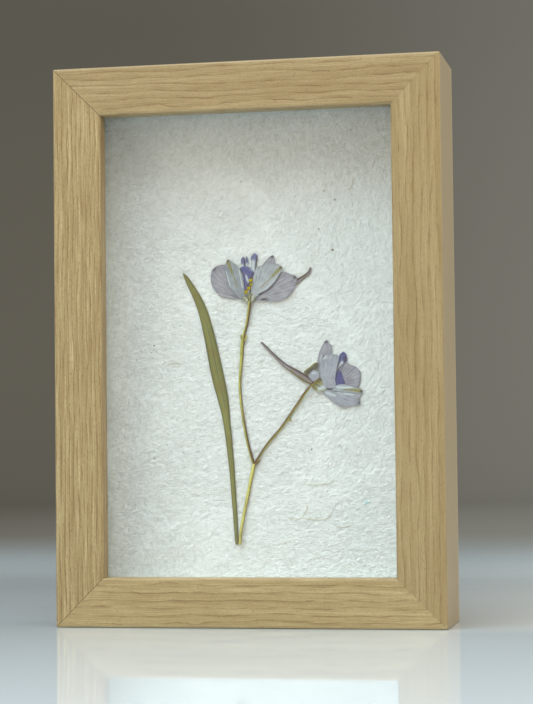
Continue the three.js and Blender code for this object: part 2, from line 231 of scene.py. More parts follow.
# %% Material: oak foil
def oak_foil(name, ring_mm, sway_mm, band_mm, contrast, seed, dark, light):
    """Growth rings are a saw tooth: the fraction of (millimetres across + sway) / ring_mm. Wood
    darkens slowly up to the edge of a ring and starts light again. Noise that is stretched along
    the rail makes the sway, the breaks in a ring, the fine hairs and the pores."""
    material, tree, skin = new_material(name, Roughness=0.48, IOR=1.5)
    at = add(tree, "ShaderNodeAttribute", attribute_name="grain").node.outputs["Vector"]
    cut = add(tree, "ShaderNodeSeparateXYZ", {"Vector": at}).node.outputs
    layer = {}
    for number, (key, long_mm, wide_mm, detail) in enumerate((
            ("sway", 24, 6, 2.0), ("shake", 3.6, 1.3, 2.0), ("bands", 30 * band_mm, band_mm, 2.0),
            ("broken", 8, ring_mm * 0.6, 2.0), ("hairs", 14, 0.3, 2.0), ("pores", 1.3, 0.14, 1.0))):
        place = add(tree, "ShaderNodeMapping", {
            "Vector": at, "Scale": (1 / long_mm, 1 / wide_mm, 0),
            "Location": (number * 7.3, number * 3.1, seed)})
        layer[key] = add(tree, "ShaderNodeTexNoise", {
            "Vector": place, "Scale": 1.0, "Detail": detail})
    sway = cut["Y"]
    for key, size_mm in (("sway", 2 * sway_mm), ("shake", 0.5)):
        sway = add(tree, "ShaderNodeMath", {0: layer[key], 1: size_mm, 2: sway},
                   operation="MULTIPLY_ADD")
    ring = add(tree, "ShaderNodeMath", {0: sway, 1: ring_mm}, operation="DIVIDE")
    ring = add(tree, "ShaderNodeMath", {0: ring}, operation="FRACT")
    late = add(tree, "ShaderNodeValToRGB", {"Fac": ring}, stops=[
        (0.0, (0.75, 0.75, 0.75, 1)), (0.07, (0, 0, 0, 1)), (0.55, (0.16, 0.16, 0.16, 1)),
        (0.84, (0.38, 0.38, 0.38, 1)), (0.95, (1, 1, 1, 1)), (1.0, (0.95, 0.95, 0.95, 1))])
    # Each share says where a shade lies. The outer side ends 31 mm round the section: its print
    # there is plainer and greyer, and partly painted shade that darkens the side face. Its rear
    # edge is painted lighter as a painted highlight along that edge.
    share = {key: add(tree, "ShaderNodeMapRange", {
        "Value": value, "From Min": low, "From Max": high, "To Min": start, "To Max": end})
        for key, value, low, high, start, end in (
            ("broken", layer["broken"], 0.36, 0.6, 0.2 * contrast, 0.95 * contrast),
            ("hair", layer["hairs"], 0.36, 0.68, 0.0, 0.8 * contrast),
            ("pore", layer["pores"], 0.54, 0.7, 0.0, 0.68 * contrast),
            ("side", cut["Y"], 30.9, 31.3, 0.8, 0.0),
            ("rear_edge_highlight", cut["Y"], 0.2, 0.8, 0.5, 0.0))}
    late = add(tree, "ShaderNodeMath", {0: late, 1: share["broken"]}, operation="MULTIPLY")
    # Bare fibreboard shows where the foil ends.
    speck = add(tree, "ShaderNodeTexNoise", {"Vector": at, "Scale": 2.2, "Detail": 4.0})
    core = add(tree, "ShaderNodeValToRGB", {"Fac": speck}, stops=[
        (0.35, linear("#a98a63")), (0.65, linear("#c9ab82"))])
    colour = add(tree, "ShaderNodeValToRGB", {"Fac": layer["bands"]}, stops=[
        (0.34, linear(dark)), (0.66, linear(light))])
    for amount, shade in ((share["hair"], linear("#8f774c")), (late, linear("#785d36")),
                          (share["pore"], linear("#755a38")), (share["side"], linear("#a2967d")),
                          (share["rear_edge_highlight"], linear("#d9cfb4")), (cut["Z"], core)):
        colour = add(tree, "ShaderNodeMixRGB", {"Fac": amount, "Color1": colour, "Color2": shade})
    relief = add(tree, "ShaderNodeMath", {0: late, 1: share["pore"]}, operation="ADD")
    bump = add(tree, "ShaderNodeBump", {"Height": relief, "Strength": 0.35, "Distance": 0.0001},
               invert=True)
    connect(tree, skin, Base_Color=colour, Normal=bump)
    return material


FOIL_LEFT = oak_foil("oak_foil_left", 1.5, 1.2, 1.5, 0.95, 12.0, "#a69266", "#c5b386")
FOIL_TOP = oak_foil("oak_foil_top", 2.35, 2.0, 3.2, 0.8, 5.0, "#a28e64", "#b4a178")
FOIL_RIGHT = oak_foil("oak_foil_right", 2.35, 2.0, 2.6, 0.68, 5.0, "#a18d62", "#b3a076")
FOIL_BOTTOM = oak_foil("oak_foil_bottom", 2.35, 2.0, 3.2, 0.72, 5.0, "#b09c6f", "#c2b083")
print("foils:", [m.name for m in bpy.data.materials if m.name.startswith("oak")])

# %% [markdown]
# The moulding
#
# All four rails are the same section: a 32 mm deep side, a flat face with softly rounded edges, and
# a lip in front of the glass. A modeller could draw the section and use a curve bevel. A grid is
# simpler to control here: one direction goes round the section, the other along the rail, and at
# both ends every point is set in by its distance from the outer edge, which makes the mitre.
# At the two corners on the right the print goes on round the joint, so its rings turn the corner.
# For this the value along the rail counts from mitre to mitre and goes on from rail to rail. At the
# left the joints stand open by a tenth of a millimetre or so, which shows as a fine dark line.

# %% Section and rails
WIDTH, HEIGHT, DEPTH = 126.0, 180.0, 32.0
FACE, LIP, OVERLAP = 15.8, 6.0, 5.0
ARRIS, REAR_ARRIS, CORNER = 0.9, 0.5, 0.45
WALL = FACE - OVERLAP


def arc(centre, radius, start, stop, count=7):
    """Points on a circle, with angles in quarter turns."""
    turn = np.linspace(start, stop, count) * math.pi / 2
    return np.stack([centre[0] + radius * np.cos(turn), centre[1] + radius * np.sin(turn)], axis=1)


def moulding_section():
    """Closed section in millimetres: X from the outer edge inwards, Y from front to back. It starts
    at the back of the outer side. core is 1 where the moulding is bare."""
    foil = np.concatenate([
        np.stack([np.zeros(9), np.linspace(DEPTH - REAR_ARRIS, ARRIS, 9)], axis=1)[:-1],
        arc((ARRIS, ARRIS), ARRIS, 2, 3),
        np.stack([np.linspace(ARRIS, FACE - ARRIS, 14), np.zeros(14)], axis=1)[1:-1],
        arc((FACE - ARRIS, ARRIS), ARRIS, 3, 4),
        [[FACE, LIP - 0.15], [FACE - 0.15, LIP]]])
    bare = np.concatenate([
        [[WALL, LIP], [WALL, 12], [WALL, 20], [WALL, DEPTH]],
        arc((REAR_ARRIS, DEPTH - REAR_ARRIS), REAR_ARRIS, 1, 2, 5)[:-1]])
    section = np.concatenate([foil, bare])
    core = np.concatenate([np.zeros(len(foil)), np.ones(len(bare))])
    return section, core


def rail_grid(length, start_gap, end_gap, rows=60):
    """Rail in its own frame: (inwards, back, along). Each end is set in by the distance from the
    outer edge plus the gap. Near the ends the outer side bends in on a circle of radius r, by
    r - sqrt(r^2 - (r - distance)^2), so that the corner of the frame is round."""
    section, core = moulding_section()
    step = np.linalg.norm(np.diff(section, axis=0), axis=1)
    around = np.concatenate([[0], np.cumsum(step)])
    share = np.concatenate([  # close rows near both ends, for the round corner
        [0, 0.0004, 0.0009, 0.0016], np.linspace(0.003, 0.997, rows), [0.9984, 0.9991, 0.9996, 1]])
    corner_inset = CORNER * (1 - math.sqrt(0.5))
    outer = np.maximum(section[:, 0], corner_inset)
    along = outer + start_gap + share[:, None] * (length - 2 * outer - start_gap - end_gap)
    reach = np.maximum(0, CORNER - np.minimum(along, length - along))
    inset = CORNER - np.sqrt(CORNER ** 2 - np.minimum(reach, CORNER * 0.999) ** 2)
    inward = np.maximum(section[:, 0], inset)
    back = np.broadcast_to(section[:, 1], along.shape)
    grid = np.stack([inward, back, along], axis=2)
    grain = np.broadcast_arrays(share[:, None] * length, around[None, :], core[None, :])
    return grid, np.stack(grain, axis=2)


def place_rail(grid, quarter_turns, corner):
    """Turns a rail about the depth axis and moves its outer corner into place, in metres."""
    turn = quarter_turns * math.pi / 2
    inward, back, along = np.moveaxis(grid, 2, 0)
    x = corner[0] + inward * round(math.cos(turn)) + along * round(math.sin(turn))
    z = corner[1] - inward * round(math.sin(turn)) + along * round(math.cos(turn))
    return np.stack([x, back - DEPTH / 2, z], axis=2) * MM


OPEN_JOINT, TIGHT_JOINT = 0.08, 0.02
RAILS = [
    ("rail_left", HEIGHT, 0, (-WIDTH / 2, 0), OPEN_JOINT, OPEN_JOINT, FOIL_LEFT),
    ("rail_top", WIDTH, 1, (-WIDTH / 2, HEIGHT), OPEN_JOINT, TIGHT_JOINT, FOIL_TOP),
    ("rail_right", HEIGHT, 2, (WIDTH / 2, HEIGHT), TIGHT_JOINT, TIGHT_JOINT, FOIL_RIGHT),
    ("rail_bottom", WIDTH, 3, (WIDTH / 2, 0), TIGHT_JOINT, OPEN_JOINT, FOIL_BOTTOM),
]
passed = 0.0
for name, length, turns, corner, start_gap, end_gap, foil in RAILS:
    grid, grain = rail_grid(length, start_gap, end_gap)
    rows, cols = grid.shape[:2]
    points = place_rail(grid, turns, corner).reshape(-1, 3)
    ends = [range(cols), range((rows - 1) * cols, rows * cols)]
    rail = make_piece(name + "_wrapped", points, quads(rows, cols, wrap=True), foil,
                      [name], {"grain": grain.reshape(-1, 3) + [passed, 0, 0]}, caps=ends)
    passed += length
    print(rail.name, "faces", len(rail.data.polygons))

# %% [markdown]
# Handmade cotton paper
#
# The sheet is couched between felts, so its face is never flat: short soft strokes of pulp lie in
# drifts that change direction over the sheet. We copy that process. Random noise is filtered into
# short strokes in six directions, and a slow drift over the sheet picks the direction for each
# place. The strokes are real relief in the mesh, one or two tenths of a millimetre high, because
# bump in a material casts no shadow. A finer fibre texture comes from the material.

# %% Relief of the paper
INSIDE = (WIDTH - 2 * WALL - 0.6, HEIGHT - 2 * WALL - 0.6)
PAPER_FRONT = 2.0
PAPER_THICKNESS = 0.8


def filtered(noise, pitch, long_mm, short_mm, angle):
    """Noise blurred along a stroke of that angle: its spectrum is multiplied by a bell curve that
    is narrow along the stroke and wide across it."""
    fz, fx = np.meshgrid(*(np.fft.fftfreq(count, pitch) for count in noise.shape), indexing="ij")
    along = fx * math.cos(angle) + fz * math.sin(angle)
    across = fz * math.cos(angle) - fx * math.sin(angle)
    bell = np.exp(-2 * math.pi ** 2 * ((along * long_mm) ** 2 + (across * short_mm) ** 2))
    result = np.real(np.fft.ifft2(np.fft.fft2(noise) * bell))
    return result / result.std()


def pulp_relief(rows, cols, pitch, rng):
    """Strokes in six directions, blended by how near each is to the local direction, plus slow
    undulation, both with a standard deviation of one, and how steep the strokes lie, 0 to 1."""
    noise = rng.standard_normal((rows, cols))
    u, w = np.meshgrid(np.linspace(-1, 1, cols), np.linspace(-1, 1, rows))
    drift = filtered(rng.standard_normal((rows, cols)), pitch, 9, 9, 0)
    local = 0.12 * math.pi + 0.30 * math.pi * np.clip(u + w - 0.1, 0, 1.2) + 0.3 * drift
    relief = np.zeros((rows, cols))
    for k in range(6):
        angle = k * math.pi / 6
        near = np.cos(local - angle) ** 4
        relief += near * filtered(noise, pitch, 0.45, 0.25, angle)
    slow = filtered(rng.standard_normal((rows, cols)), pitch, 1.9, 1.2, 0.3)
    steep = np.clip((local - 0.5) / 0.5, 0, 1)
    return relief / relief.std(), slow, steep


# In millimetres: the pitch of the grid, the height of a stroke one deviation strong, and how far
# the middle of the relief lies behind the front plane. No stroke is stronger than TALLEST.
PITCH, STROKE_HEIGHT, SWELL_ROOM, TALLEST = 0.42, 0.074, 0.23, 2.3
cols, rows = int(INSIDE[0] / PITCH), int(INSIDE[1] / PITCH)
relief, slow, steep = pulp_relief(rows, cols, PITCH, np.random.default_rng(7))
px, pz = np.meshgrid(np.linspace(-INSIDE[0] / 2, INSIDE[0] / 2, cols),
                     np.linspace(HEIGHT / 2 - INSIDE[1] / 2, HEIGHT / 2 + INSIDE[1] / 2, rows))
swell = np.clip(relief + 0.5 * slow, -TALLEST, TALLEST) * STROKE_HEIGHT
front = np.stack([px, PAPER_FRONT + SWELL_ROOM - swell, pz], axis=2)
print("paper grid", rows, "x", cols, "relief mm", round(float(np.ptp(swell)), 3))

# %% [markdown]
# The finish of the paper
#
# Cotton pulp dries nearly white, a little cool and fully matt. What the eye reads as handmade is
# its fibre: small strokes, with painted shade that makes the hollows greyer. Two lays of fibre
# noise, turned against each other, are mixed by the direction that the relief has stored on the
# mesh, so that the fine texture lies the same way as the coarse one.

# %% Material: cotton rag paper
def rag_paper():
    """Cool off-white pulp. Cotton fibre is nearly white and fully matt; faint cloudy tints and tiny
    bits of bark come from an uneven beat. Hollows of the relief and of the fibre get painted shade,
    so they are greyer than the crests. The fibre bump is 0.6 mm wide and 1 mm long, in two lays."""
    material, tree, skin = new_material(
        "cotton_rag_paper", Roughness=0.95, IOR=1.47, Specular_IOR_Level=0.25)
    place = add(tree, "ShaderNodeTexCoord").node.outputs["Object"]
    cloud = add(tree, "ShaderNodeTexNoise", {"Vector": place, "Scale": 90.0, "Detail": 3.0})
    colour = add(tree, "ShaderNodeValToRGB", {"Fac": cloud}, stops=[
        (0.32, linear("#f7f9f8")), (0.68, linear("#fafcfb"))])
    pulp = add(tree, "ShaderNodeAttribute", attribute_name="pulp").node.outputs["Vector"]
    stored = add(tree, "ShaderNodeSeparateXYZ", {"Vector": pulp}).node.outputs
    lays = []
    for turn in (0.2, 1.0):
        turned = add(tree, "ShaderNodeVectorRotate", {"Vector": place, "Angle": turn},
                     rotation_type="Y_AXIS")
        drawn = add(tree, "ShaderNodeMapping", {"Vector": turned, "Scale": (1000, 1000, 1750)})
        lays.append(add(tree, "ShaderNodeTexNoise", {
            "Vector": drawn, "Scale": 1.0, "Detail": 3.0, "Roughness": 0.65, "Distortion": 1.0}))
    fibre = add(tree, "ShaderNodeMixRGB", {
        "Fac": stored["Y"], "Color1": lays[0], "Color2": lays[1]})
    # Painted shade: the hollows of the relief and of the fibre are mixed towards a greyer colour.
    hollow_shade = add(tree, "ShaderNodeMath", {0: stored["X"], 1: 0.06, 2: fibre},
                 operation="MULTIPLY_ADD")
    grit = add(tree, "ShaderNodeTexNoise", {
        "Vector": place, "Scale": 620.0, "Detail": 4.0, "Roughness": 0.7})
    for value, low, high, most, shade in (
            (hollow_shade, 0.64, 0.28, 0.4, "#c3c5bc"), (grit, 0.66, 0.78, 0.22, "#b9b39a")):
        amount = add(tree, "ShaderNodeMapRange", {
            "Value": value, "From Min": low, "From Max": high, "To Max": most})
        colour = add(tree, "ShaderNodeMixRGB", {
            "Fac": amount, "Color1": colour, "Color2": linear(shade)})
    bump = add(tree, "ShaderNodeBump", {"Height": fibre, "Strength": 1.0, "Distance": 0.00072})
    connect(tree, skin, Base_Color=colour, Normal=bump)
    return material


RAG = rag_paper()
border = border_loop(rows, cols)
ring = front.reshape(-1, 3)[border]
ring[:, 1] = PAPER_FRONT + PAPER_THICKNESS - 0.05
back = rows * cols + np.arange(len(border))
edge = np.stack([border, np.roll(border, -1), np.roll(back, -1), back], axis=1)
points = np.concatenate([front.reshape(-1, 3), ring]) * MM
pulp = np.zeros((len(points), 3))
pulp[:rows * cols, 0] = relief.ravel()
pulp[:rows * cols, 1] = steep.ravel()
paper = make_piece("handmade_sheet", points, np.concatenate([quads(rows, cols), edge]), RAG,
                   ["rag_paper"], {"pulp": pulp}, caps=[back])
print(paper.name, "faces", len(paper.data.polygons))

# %% [markdown]
# Swept bodies and pebbles
#
# Threads, stems, spurs and the leaf are long bodies: an oval section carried along a path. A curve
# with a bevel could make them, but not the ridges of a stem or a colour that differs from side to
# side. So each is a grid again, like a rail. Crumbs and pollen sacs are balls that swell and sink.

# %% Swept bodies and pebbles
def sweep_body(path, half_width, half_depth, ridges=0, ridge=0.0, sides=24):
    """A section carried along a path in millimetres. At each step the section is an oval: half
    width across the path in the plane of the paper, half depth towards the viewer, with rounded
    ridges round it. The first and last rings shrink to a point, so that the ends are closed."""
    count = len(path)
    tangent = np.gradient(path, axis=0)
    normal = np.stack([-tangent[:, 2], np.zeros(count), tangent[:, 0]], axis=1)
    normal /= np.linalg.norm(normal, axis=1)[:, None]
    turn = np.linspace(0, 2 * math.pi, sides, endpoint=False)
    swell = 1 + ridge * np.cos(ridges * turn)
    across = np.outer(half_width, np.cos(turn) * swell)
    toward = np.outer(half_depth, np.sin(turn) * swell)
    grid = path[:, None, :] + across[..., None] * normal[:, None, :]
    grid[..., 1] -= toward
    grid = np.concatenate([np.repeat(path[:1, None], sides, axis=1), grid,
                           np.repeat(path[-1:, None], sides, axis=1)])
    run = np.concatenate([[0], np.cumsum(np.linalg.norm(np.diff(path, axis=0), axis=1))])
    run = np.concatenate([run[:1], run, run[-1:]])
    strip = np.broadcast_arrays(np.cos(turn)[None, :], np.sin(turn)[None, :], run[:, None])
    return grid * MM, np.stack(strip, axis=2)


def unit_ball(rows, cols):
    """Two angles on a grid, and the point of a ball for each pair: X is sin(tilt) cos(turn), Y is
    cos(tilt) and Z is sin(tilt) sin(turn)."""
    tilt, turn = np.meshgrid(np.linspace(0, math.pi, rows),
                             np.linspace(0, 2 * math.pi, cols, endpoint=False), indexing="ij")
    ball = [np.sin(tilt) * np.cos(turn), np.cos(tilt), np.sin(tilt) * np.sin(turn)]
    return tilt, turn, np.stack(ball, axis=2)


def pebble_body(centre, radii, lumps, seed):
    """A ball whose radius swells and sinks with a few waves in both angles, then is scaled."""
    tilt, turn, ball = unit_ball(10, 16)
    a, b = np.random.default_rng(seed).uniform(0, 6.3, 2)
    radius = (1 + lumps * np.sin(2 * turn + a) * np.sin(tilt)
              + lumps * np.sin(3 * turn + b) * np.sin(tilt) ** 2)
    return (np.asarray(centre) + ball * radius[..., None] * np.asarray(radii)) * MM


def joined(grids):
    """Several wrapped grids as one set of points and faces."""
    points, faces, start = [], [], 0
    for grid in grids:
        rows, cols = grid.shape[:2]
        points.append(grid.reshape(-1, 3))
        faces.append(quads(rows, cols, wrap=True) + start)
        start += rows * cols
    return np.concatenate(points), np.concatenate(faces)


print("a pebble has", len(joined([pebble_body((0, 0, 0), (1, 1, 1), 0.2, 0)])[1]), "faces")

# %% [markdown]
# Fibres and bits in the pulp
#
# Handmade paper keeps a few long curly fibres, dark bits of bark and now and then a fleck of dyed
# fibre from an older sheet. Noise could draw such marks, but not in chosen places. The ones that
# show are little bodies that lie in the surface: threads are swept tubes, bits are flat pebbles.

# %% Threads and bark bits
THREADS = [
    [(9.9, 34.1), (12, 33.4), (14.5, 34), (18.4, 33.5), (21.7, 33.6), (23.4, 34.7), (24.4, 36.6),
     (25.3, 38)],
    [(14.4, 34.2), (15.4, 35.7), (16, 37.3), (15.8, 38.6)],
    [(25.3, 31.6), (27, 31), (29.2, 31.3), (31.1, 32.1)],
    [(15.3, 45), (17.9, 44.6), (21.2, 44.9), (23.2, 45.2), (25.1, 46.2)],
    [(-30, 84), (-27.5, 84.8), (-25, 84.2)],
    [(30.5, 139.4), (32, 141), (32.3, 143.2)],
]
# Unbleached cotton that the beater left whole: matt and straw-coloured against the white pulp.
COTTON_FIBRE = two_tone("loose_cotton_fibre", "#bcb494", "#d0cab0", 700.0)
grids = []
for knots in THREADS:
    flat = smooth_curve(knots, 40)
    path = np.stack([flat[:, 0], np.full(len(flat), PAPER_FRONT + 0.06), flat[:, 1]], axis=1)
    thin = 0.1 * np.sin(np.linspace(0.15, math.pi - 0.15, len(flat))) ** 0.5  # pointed at both ends
    grids.append(sweep_body(path, thin, thin * 0.8, sides=8)[0])
points, faces = joined(grids)
make_piece("curly_fibres", points, faces, COTTON_FIBRE)

BITS = [(26.3, 136.5, 0.34), (25.4, 120.3, 0.4), (22.7, 139.5, 0.25), (20.9, 127.2, 0.25),
        (31.8, 159.0, 0.22), (17.7, 56.2, 0.28), (-34.5, 53.8, 0.24), (-34.3, 90.6, 0.28),
        (-4.6, 143.5, 0.2)]
# Bark from the raw stalks, chopped and cooked: dull crumbs from grey to olive brown.
BARK = two_tone("bark_bits", "#6b6350", "#95855d", 900.0)
grids = [pebble_body((x, PAPER_FRONT + 0.02, z), (size, 0.12, size * 0.8), 0.2, i)
         for i, (x, z, size) in enumerate(BITS)]
points, faces = joined(grids)
make_piece("bark_bits", points, faces, BARK)

# A clot of dyed fibre, felted into the sheet: pale blue strands with white ones between them.
DYED = two_tone("dyed_fibre", "#b9d6d6", "#e6efec", 1200.0, detail=3.0)
points, faces = joined([pebble_body((35.4, PAPER_FRONT + 0.1, 39.1), (0.95, 0.12, 0.75), 0.22, 3)])
make_piece("dyed_fibre_fleck", points, faces, DYED)
print("threads", len(THREADS), "bits", len(BITS))

# %% [markdown]
# Pressed petals
#
# A fresh petal is thick with water. Pressed and dried it is a film thinner than paper, grey
# lavender where the colour has faded, with its veins standing out and its tip gone dark. Each petal
# is a fan: every line runs from the claw, where the petal grew, to a point of its rim. The veins
# then follow the fan by themselves, because they are lines of equal place across it.

# %% Petal surface
# Millimetres from layer to layer, from the paper to the first one, and through one dry petal; then
# the height of the ribs and of the soft ripple.
LAYER, FIRST_LAYER, FILM, RIB, RIPPLE = 0.22, 0.12, 0.13, 0.035, 0.045


def near_stroke(x, z, strokes):
    """How near each point is to any of some straight strokes: a bell curve of the distance, with
    each stroke given as its two ends and its width."""
    result = np.zeros_like(x)
    for (x0, z0), (x1, z1), width in strokes:
        dx, dz = x1 - x0, z1 - z0
        share = np.clip(((x - x0) * dx + (z - z0) * dz) / max(dx * dx + dz * dz, 1e-9), 0, 1)
        distance = np.hypot(x - x0 - share * dx, z - z0 - share * dz)
        result = np.maximum(result, np.exp(-(distance / width) ** 2))
    return result


def petal_grid(claw, rim, layer, seed, veins, curl, rows=44, cols=120):
    """Middle surface of a petal: claw + share * (rim - claw). Its height above the paper is the
    layer's, plus low ribs along the veins, a soft ripple, and a rim that lifts with the fourth
    power of the share. The rim itself wavers by about one per cent."""
    rng = np.random.default_rng(seed)
    edge = smooth_curve([claw, *rim, claw], cols)
    share = np.linspace(0, 1, rows)[:, None]
    across = np.linspace(0, 1, cols)[None, :]
    a, b, c = rng.uniform(0, 6.3, 3)
    waver = 0.008 * np.sin(29 * across + a) + 0.006 * np.sin(61 * across + b)
    reach = share * (1 + share ** 3 * waver)
    x = claw[0] + reach * (edge[:, 0] - claw[0])[None, :]
    z = claw[1] + reach * (edge[:, 1] - claw[1])[None, :]
    ribs = RIB * np.cos(2 * math.pi * veins * across) * np.sin(math.pi * share) ** 0.7
    ripple = (RIPPLE * np.sin(0.9 * x + a) * np.sin(0.8 * z + b)
              + 0.03 * np.sin(7 * across + 3 * share + c))
    lift = FIRST_LAYER + layer * LAYER + ribs + ripple + curl * share ** 4
    mid = np.stack([x, PAPER_FRONT - lift, z], axis=2)
    film = FILM * (1 - 0.75 * share ** 6) * np.ones_like(x)
    return mid, film, across + 0 * x, share + 0 * x


print("the top layer of petals lies", round(FIRST_LAYER + 3 * LAYER, 2), "mm above the paper")

# %% [markdown]
# The finish of a petal
#
# A dry petal has two faded tones in soft clouds, a silky grain along the fan and thin dark veins.
# Its marks, such as a dark tip or an olive midrib, have fixed places. An image could hold them, but
# four values at each point of the mesh do it as well: each says how near the point is to a few
# straight strokes, and the material turns it into a colour.

# %% Material: pressed petal
def pressed_petal(name, light, deep, vein, veins, vein_depth=0.8):
    """Faded petal: two tones in clouds, fine silk along the fan, darker veins, and marks stored on
    the mesh: dark tips, olive midribs, violet parts, and pale parts that are partly the faded
    colour and partly painted highlights along folds and edges."""
    material, tree, skin = new_material(
        name, Roughness=0.62, IOR=1.42, Specular_IOR_Level=0.35, Sheen_Weight=0.15)
    fan = add(tree, "ShaderNodeAttribute", attribute_name="fan").node.outputs["Vector"]
    mark = add(tree, "ShaderNodeAttribute", attribute_name="mark").node
    marks = add(tree, "ShaderNodeSeparateColor", {"Color": mark.outputs["Color"]}).node.outputs
    axes = add(tree, "ShaderNodeSeparateXYZ", {"Vector": fan}).node.outputs
    place = add(tree, "ShaderNodeTexCoord").node.outputs["Object"]
    cloud = add(tree, "ShaderNodeTexNoise", {"Vector": place, "Scale": 420.0, "Detail": 3.0})
    silk_place = add(tree, "ShaderNodeMapping", {"Vector": fan, "Scale": (90, 5, 7)})
    silk = add(tree, "ShaderNodeTexNoise", {"Vector": silk_place, "Scale": 1.0, "Detail": 3.0})
    tone = add(tree, "ShaderNodeMath", {0: cloud, 1: silk}, operation="ADD")
    tone = add(tree, "ShaderNodeMapRange", {"Value": tone, "From Min": 0.78, "From Max": 1.22})
    colour = add(tree, "ShaderNodeMixRGB", {
        "Fac": tone, "Color1": linear(deep), "Color2": linear(light)})
    wobble = add(tree, "ShaderNodeTexNoise", {"Vector": place, "Scale": 260.0, "Detail": 1.0})
    # A vein lies where the place across the fan, counted in veins, is near a whole number.
    line = add(tree, "ShaderNodeMath", {0: axes["X"], 1: float(veins), 2: wobble},
               operation="MULTIPLY_ADD")
    line = add(tree, "ShaderNodeMath", {0: line, 1: 0.5}, operation="PINGPONG")
    line = add(tree, "ShaderNodeMapRange", {"Value": line, "From Min": 0.13, "From Max": 0.0})
    strength = add(tree, "ShaderNodeMapRange", {
        "Value": silk, "From Min": 0.30, "From Max": 0.55, "To Max": vein_depth})
    line = add(tree, "ShaderNodeMath", {0: line, 1: strength}, operation="MULTIPLY")
    rim = add(tree, "ShaderNodeMapRange", {
        "Value": axes["Y"], "From Min": 0.95, "From Max": 1.0, "To Max": 0.35})
    speckle = add(tree, "ShaderNodeMath", {0: silk, 1: 0.9, 2: 0.55}, operation="MULTIPLY_ADD")
    spots = [add(tree, "ShaderNodeMath", {0: value, 1: speckle}, operation="MULTIPLY",
                 use_clamp=True)
             for value in (mark.outputs["Alpha"], marks["Blue"], marks["Green"], marks["Red"])]
    # The pale mark is partly the petal's faded colour and partly a painted highlight along folds
    # and edges.
    for amount, shade in zip([line, rim, *spots],
                             [vein, vein, "#c6cdd0", "#525488", "#85803f", "#443a41"]):
        colour = add(tree, "ShaderNodeMixRGB", {
            "Fac": amount, "Color1": colour, "Color2": linear(shade)})
    height = add(tree, "ShaderNodeMath", {0: silk, 1: line}, operation="SUBTRACT")
    bump = add(tree, "ShaderNodeBump", {"Height": height, "Strength": 0.3, "Distance": 0.00012})
    connect(tree, skin, Base_Color=colour, Normal=bump)
    return material


# Sepals of a spurred garden flower, pressed and faded; the violet ones kept most of their colour.
PETAL_GREY = pressed_petal("pressed_petal_grey", "#a8a7ae", "#8b8a95", "#666370", 19)
PETAL_PALE = pressed_petal("pressed_petal_pale", "#b6bbbf", "#999da4", "#747580", 17, 0.65)
PETAL_BLUE = pressed_petal("pressed_petal_blue_grey", "#9da4aa", "#7f858d", "#62656e", 15, 0.65)
PETAL_LAVENDER = pressed_petal("pressed_petal_lavender", "#b0b2bd", "#92959f", "#706f7e", 15, 0.5)
PETAL_VIOLET = pressed_petal("pressed_petal_violet", "#7778a0", "#50517e", "#393a5f", 6)
CUP = pressed_petal("dry_flower_base", "#a4a781", "#7c7e55", "#58522c", 7)
CALYX = pressed_petal("dry_calyx", "#7d7a66", "#595647", "#332d20", 9, 0.9)
print("petal finishes:", [m.name for m in bpy.data.materials if m.name.startswith("pressed")])


def add_petal(name, layer, material, claw, rim, veins=12, curl=0.05, seed=0,
              dark=(), olive=(), violet=(), pale=()):
    """A petal from its claw and rim. seed picks its waves, and each mark is a list of strokes: two
    ends and a width in millimetres."""
    mid, film, across, share = petal_grid(claw, rim, layer, seed, veins, curl)
    marks = [near_stroke(mid[..., 0], mid[..., 2], strokes)
             for strokes in (dark, olive, violet, pale)]
    points, faces = sheet_body(mid * MM, film * MM)
    fan = np.stack([across, share, np.full_like(share, seed * 0.37)], axis=2).reshape(-1, 3)
    mark = np.stack(marks, axis=2).reshape(-1, 4)
    return make_piece(name + "_pressed", points, faces, material, [name],
                      {"fan": np.tile(fan, (2, 1)), "mark": np.tile(mark, (2, 1))})


# %% [markdown]
# The upper flower
#
# It was pressed from the side. Two pale petals fold over the middle like a pair of wings, three
# grey ones fan out behind them, and the small violet inner petals and the pollen sacs show in the
# gap. One drawn sheet would lose the fine shadows between them, so each petal is its own sheet. We
# lay them from the back to the front, each a fraction of a millimetre above the last.

# %% Upper flower petals
add_petal("upper_petal_outer_left", 0, PETAL_GREY, (-3.7, 104.8), [
    (-5.6, 105.6), (-8.2, 105.9), (-11.1, 105.9), (-13.2, 107.4), (-14.8, 110.6), (-14.9, 113.8),
    (-14.2, 115.3), (-10, 116.3), (-6.5, 112)], seed=1,
    dark=[((-14.3, 115.2), (-13.7, 115.1), 0.55)])
add_petal("upper_petal_rear", 0, PETAL_GREY, (0.1, 107.1), [
    (1.6, 114), (2.6, 116.5), (3.9, 117.8), (5.6, 119.1), (6.5, 117.6), (6.2, 113.5)], seed=2,
    dark=[((5.6, 119.1), (5.5, 118.6), 0.55)])
add_petal("upper_petal_outer_right", 1, PETAL_GREY, (-0.35, 105), [
    (0.75, 104.5), (5.85, 104.2), (8.75, 104.6), (12.05, 107), (13.45, 110.4), (13.25, 112),
    (10.65, 113.2), (8.55, 113.5), (5.15, 110.6)], seed=3,
    dark=[((13.2, 112), (12.8, 111.6), 0.4), ((2.2, 104.9), (3.4, 104.9), 0.36)])
add_petal("upper_violet_lobe_left", 0, PETAL_VIOLET, (-3.8, 114.8), [
    (-4.6, 116.1), (-4.9, 117.6), (-4.5, 118.6), (-3.9, 118.8), (-3.5, 117.8), (-3.5, 116.1)],
    veins=4, seed=4, dark=[((-3.6, 118.6), (-3.6, 116), 0.25)],
    pale=[((-4.3, 116), (-4.3, 115.4), 0.5)])
add_petal("upper_violet_lobe_middle", 0, PETAL_VIOLET, (-2.9, 114.9), [
    (-3.3, 116.2), (-3.3, 117.7), (-3, 119), (-2.5, 118), (-2.5, 116.4)], veins=3, seed=5,
    pale=[((-2.9, 116.4), (-2.9, 115.2), 0.4)])
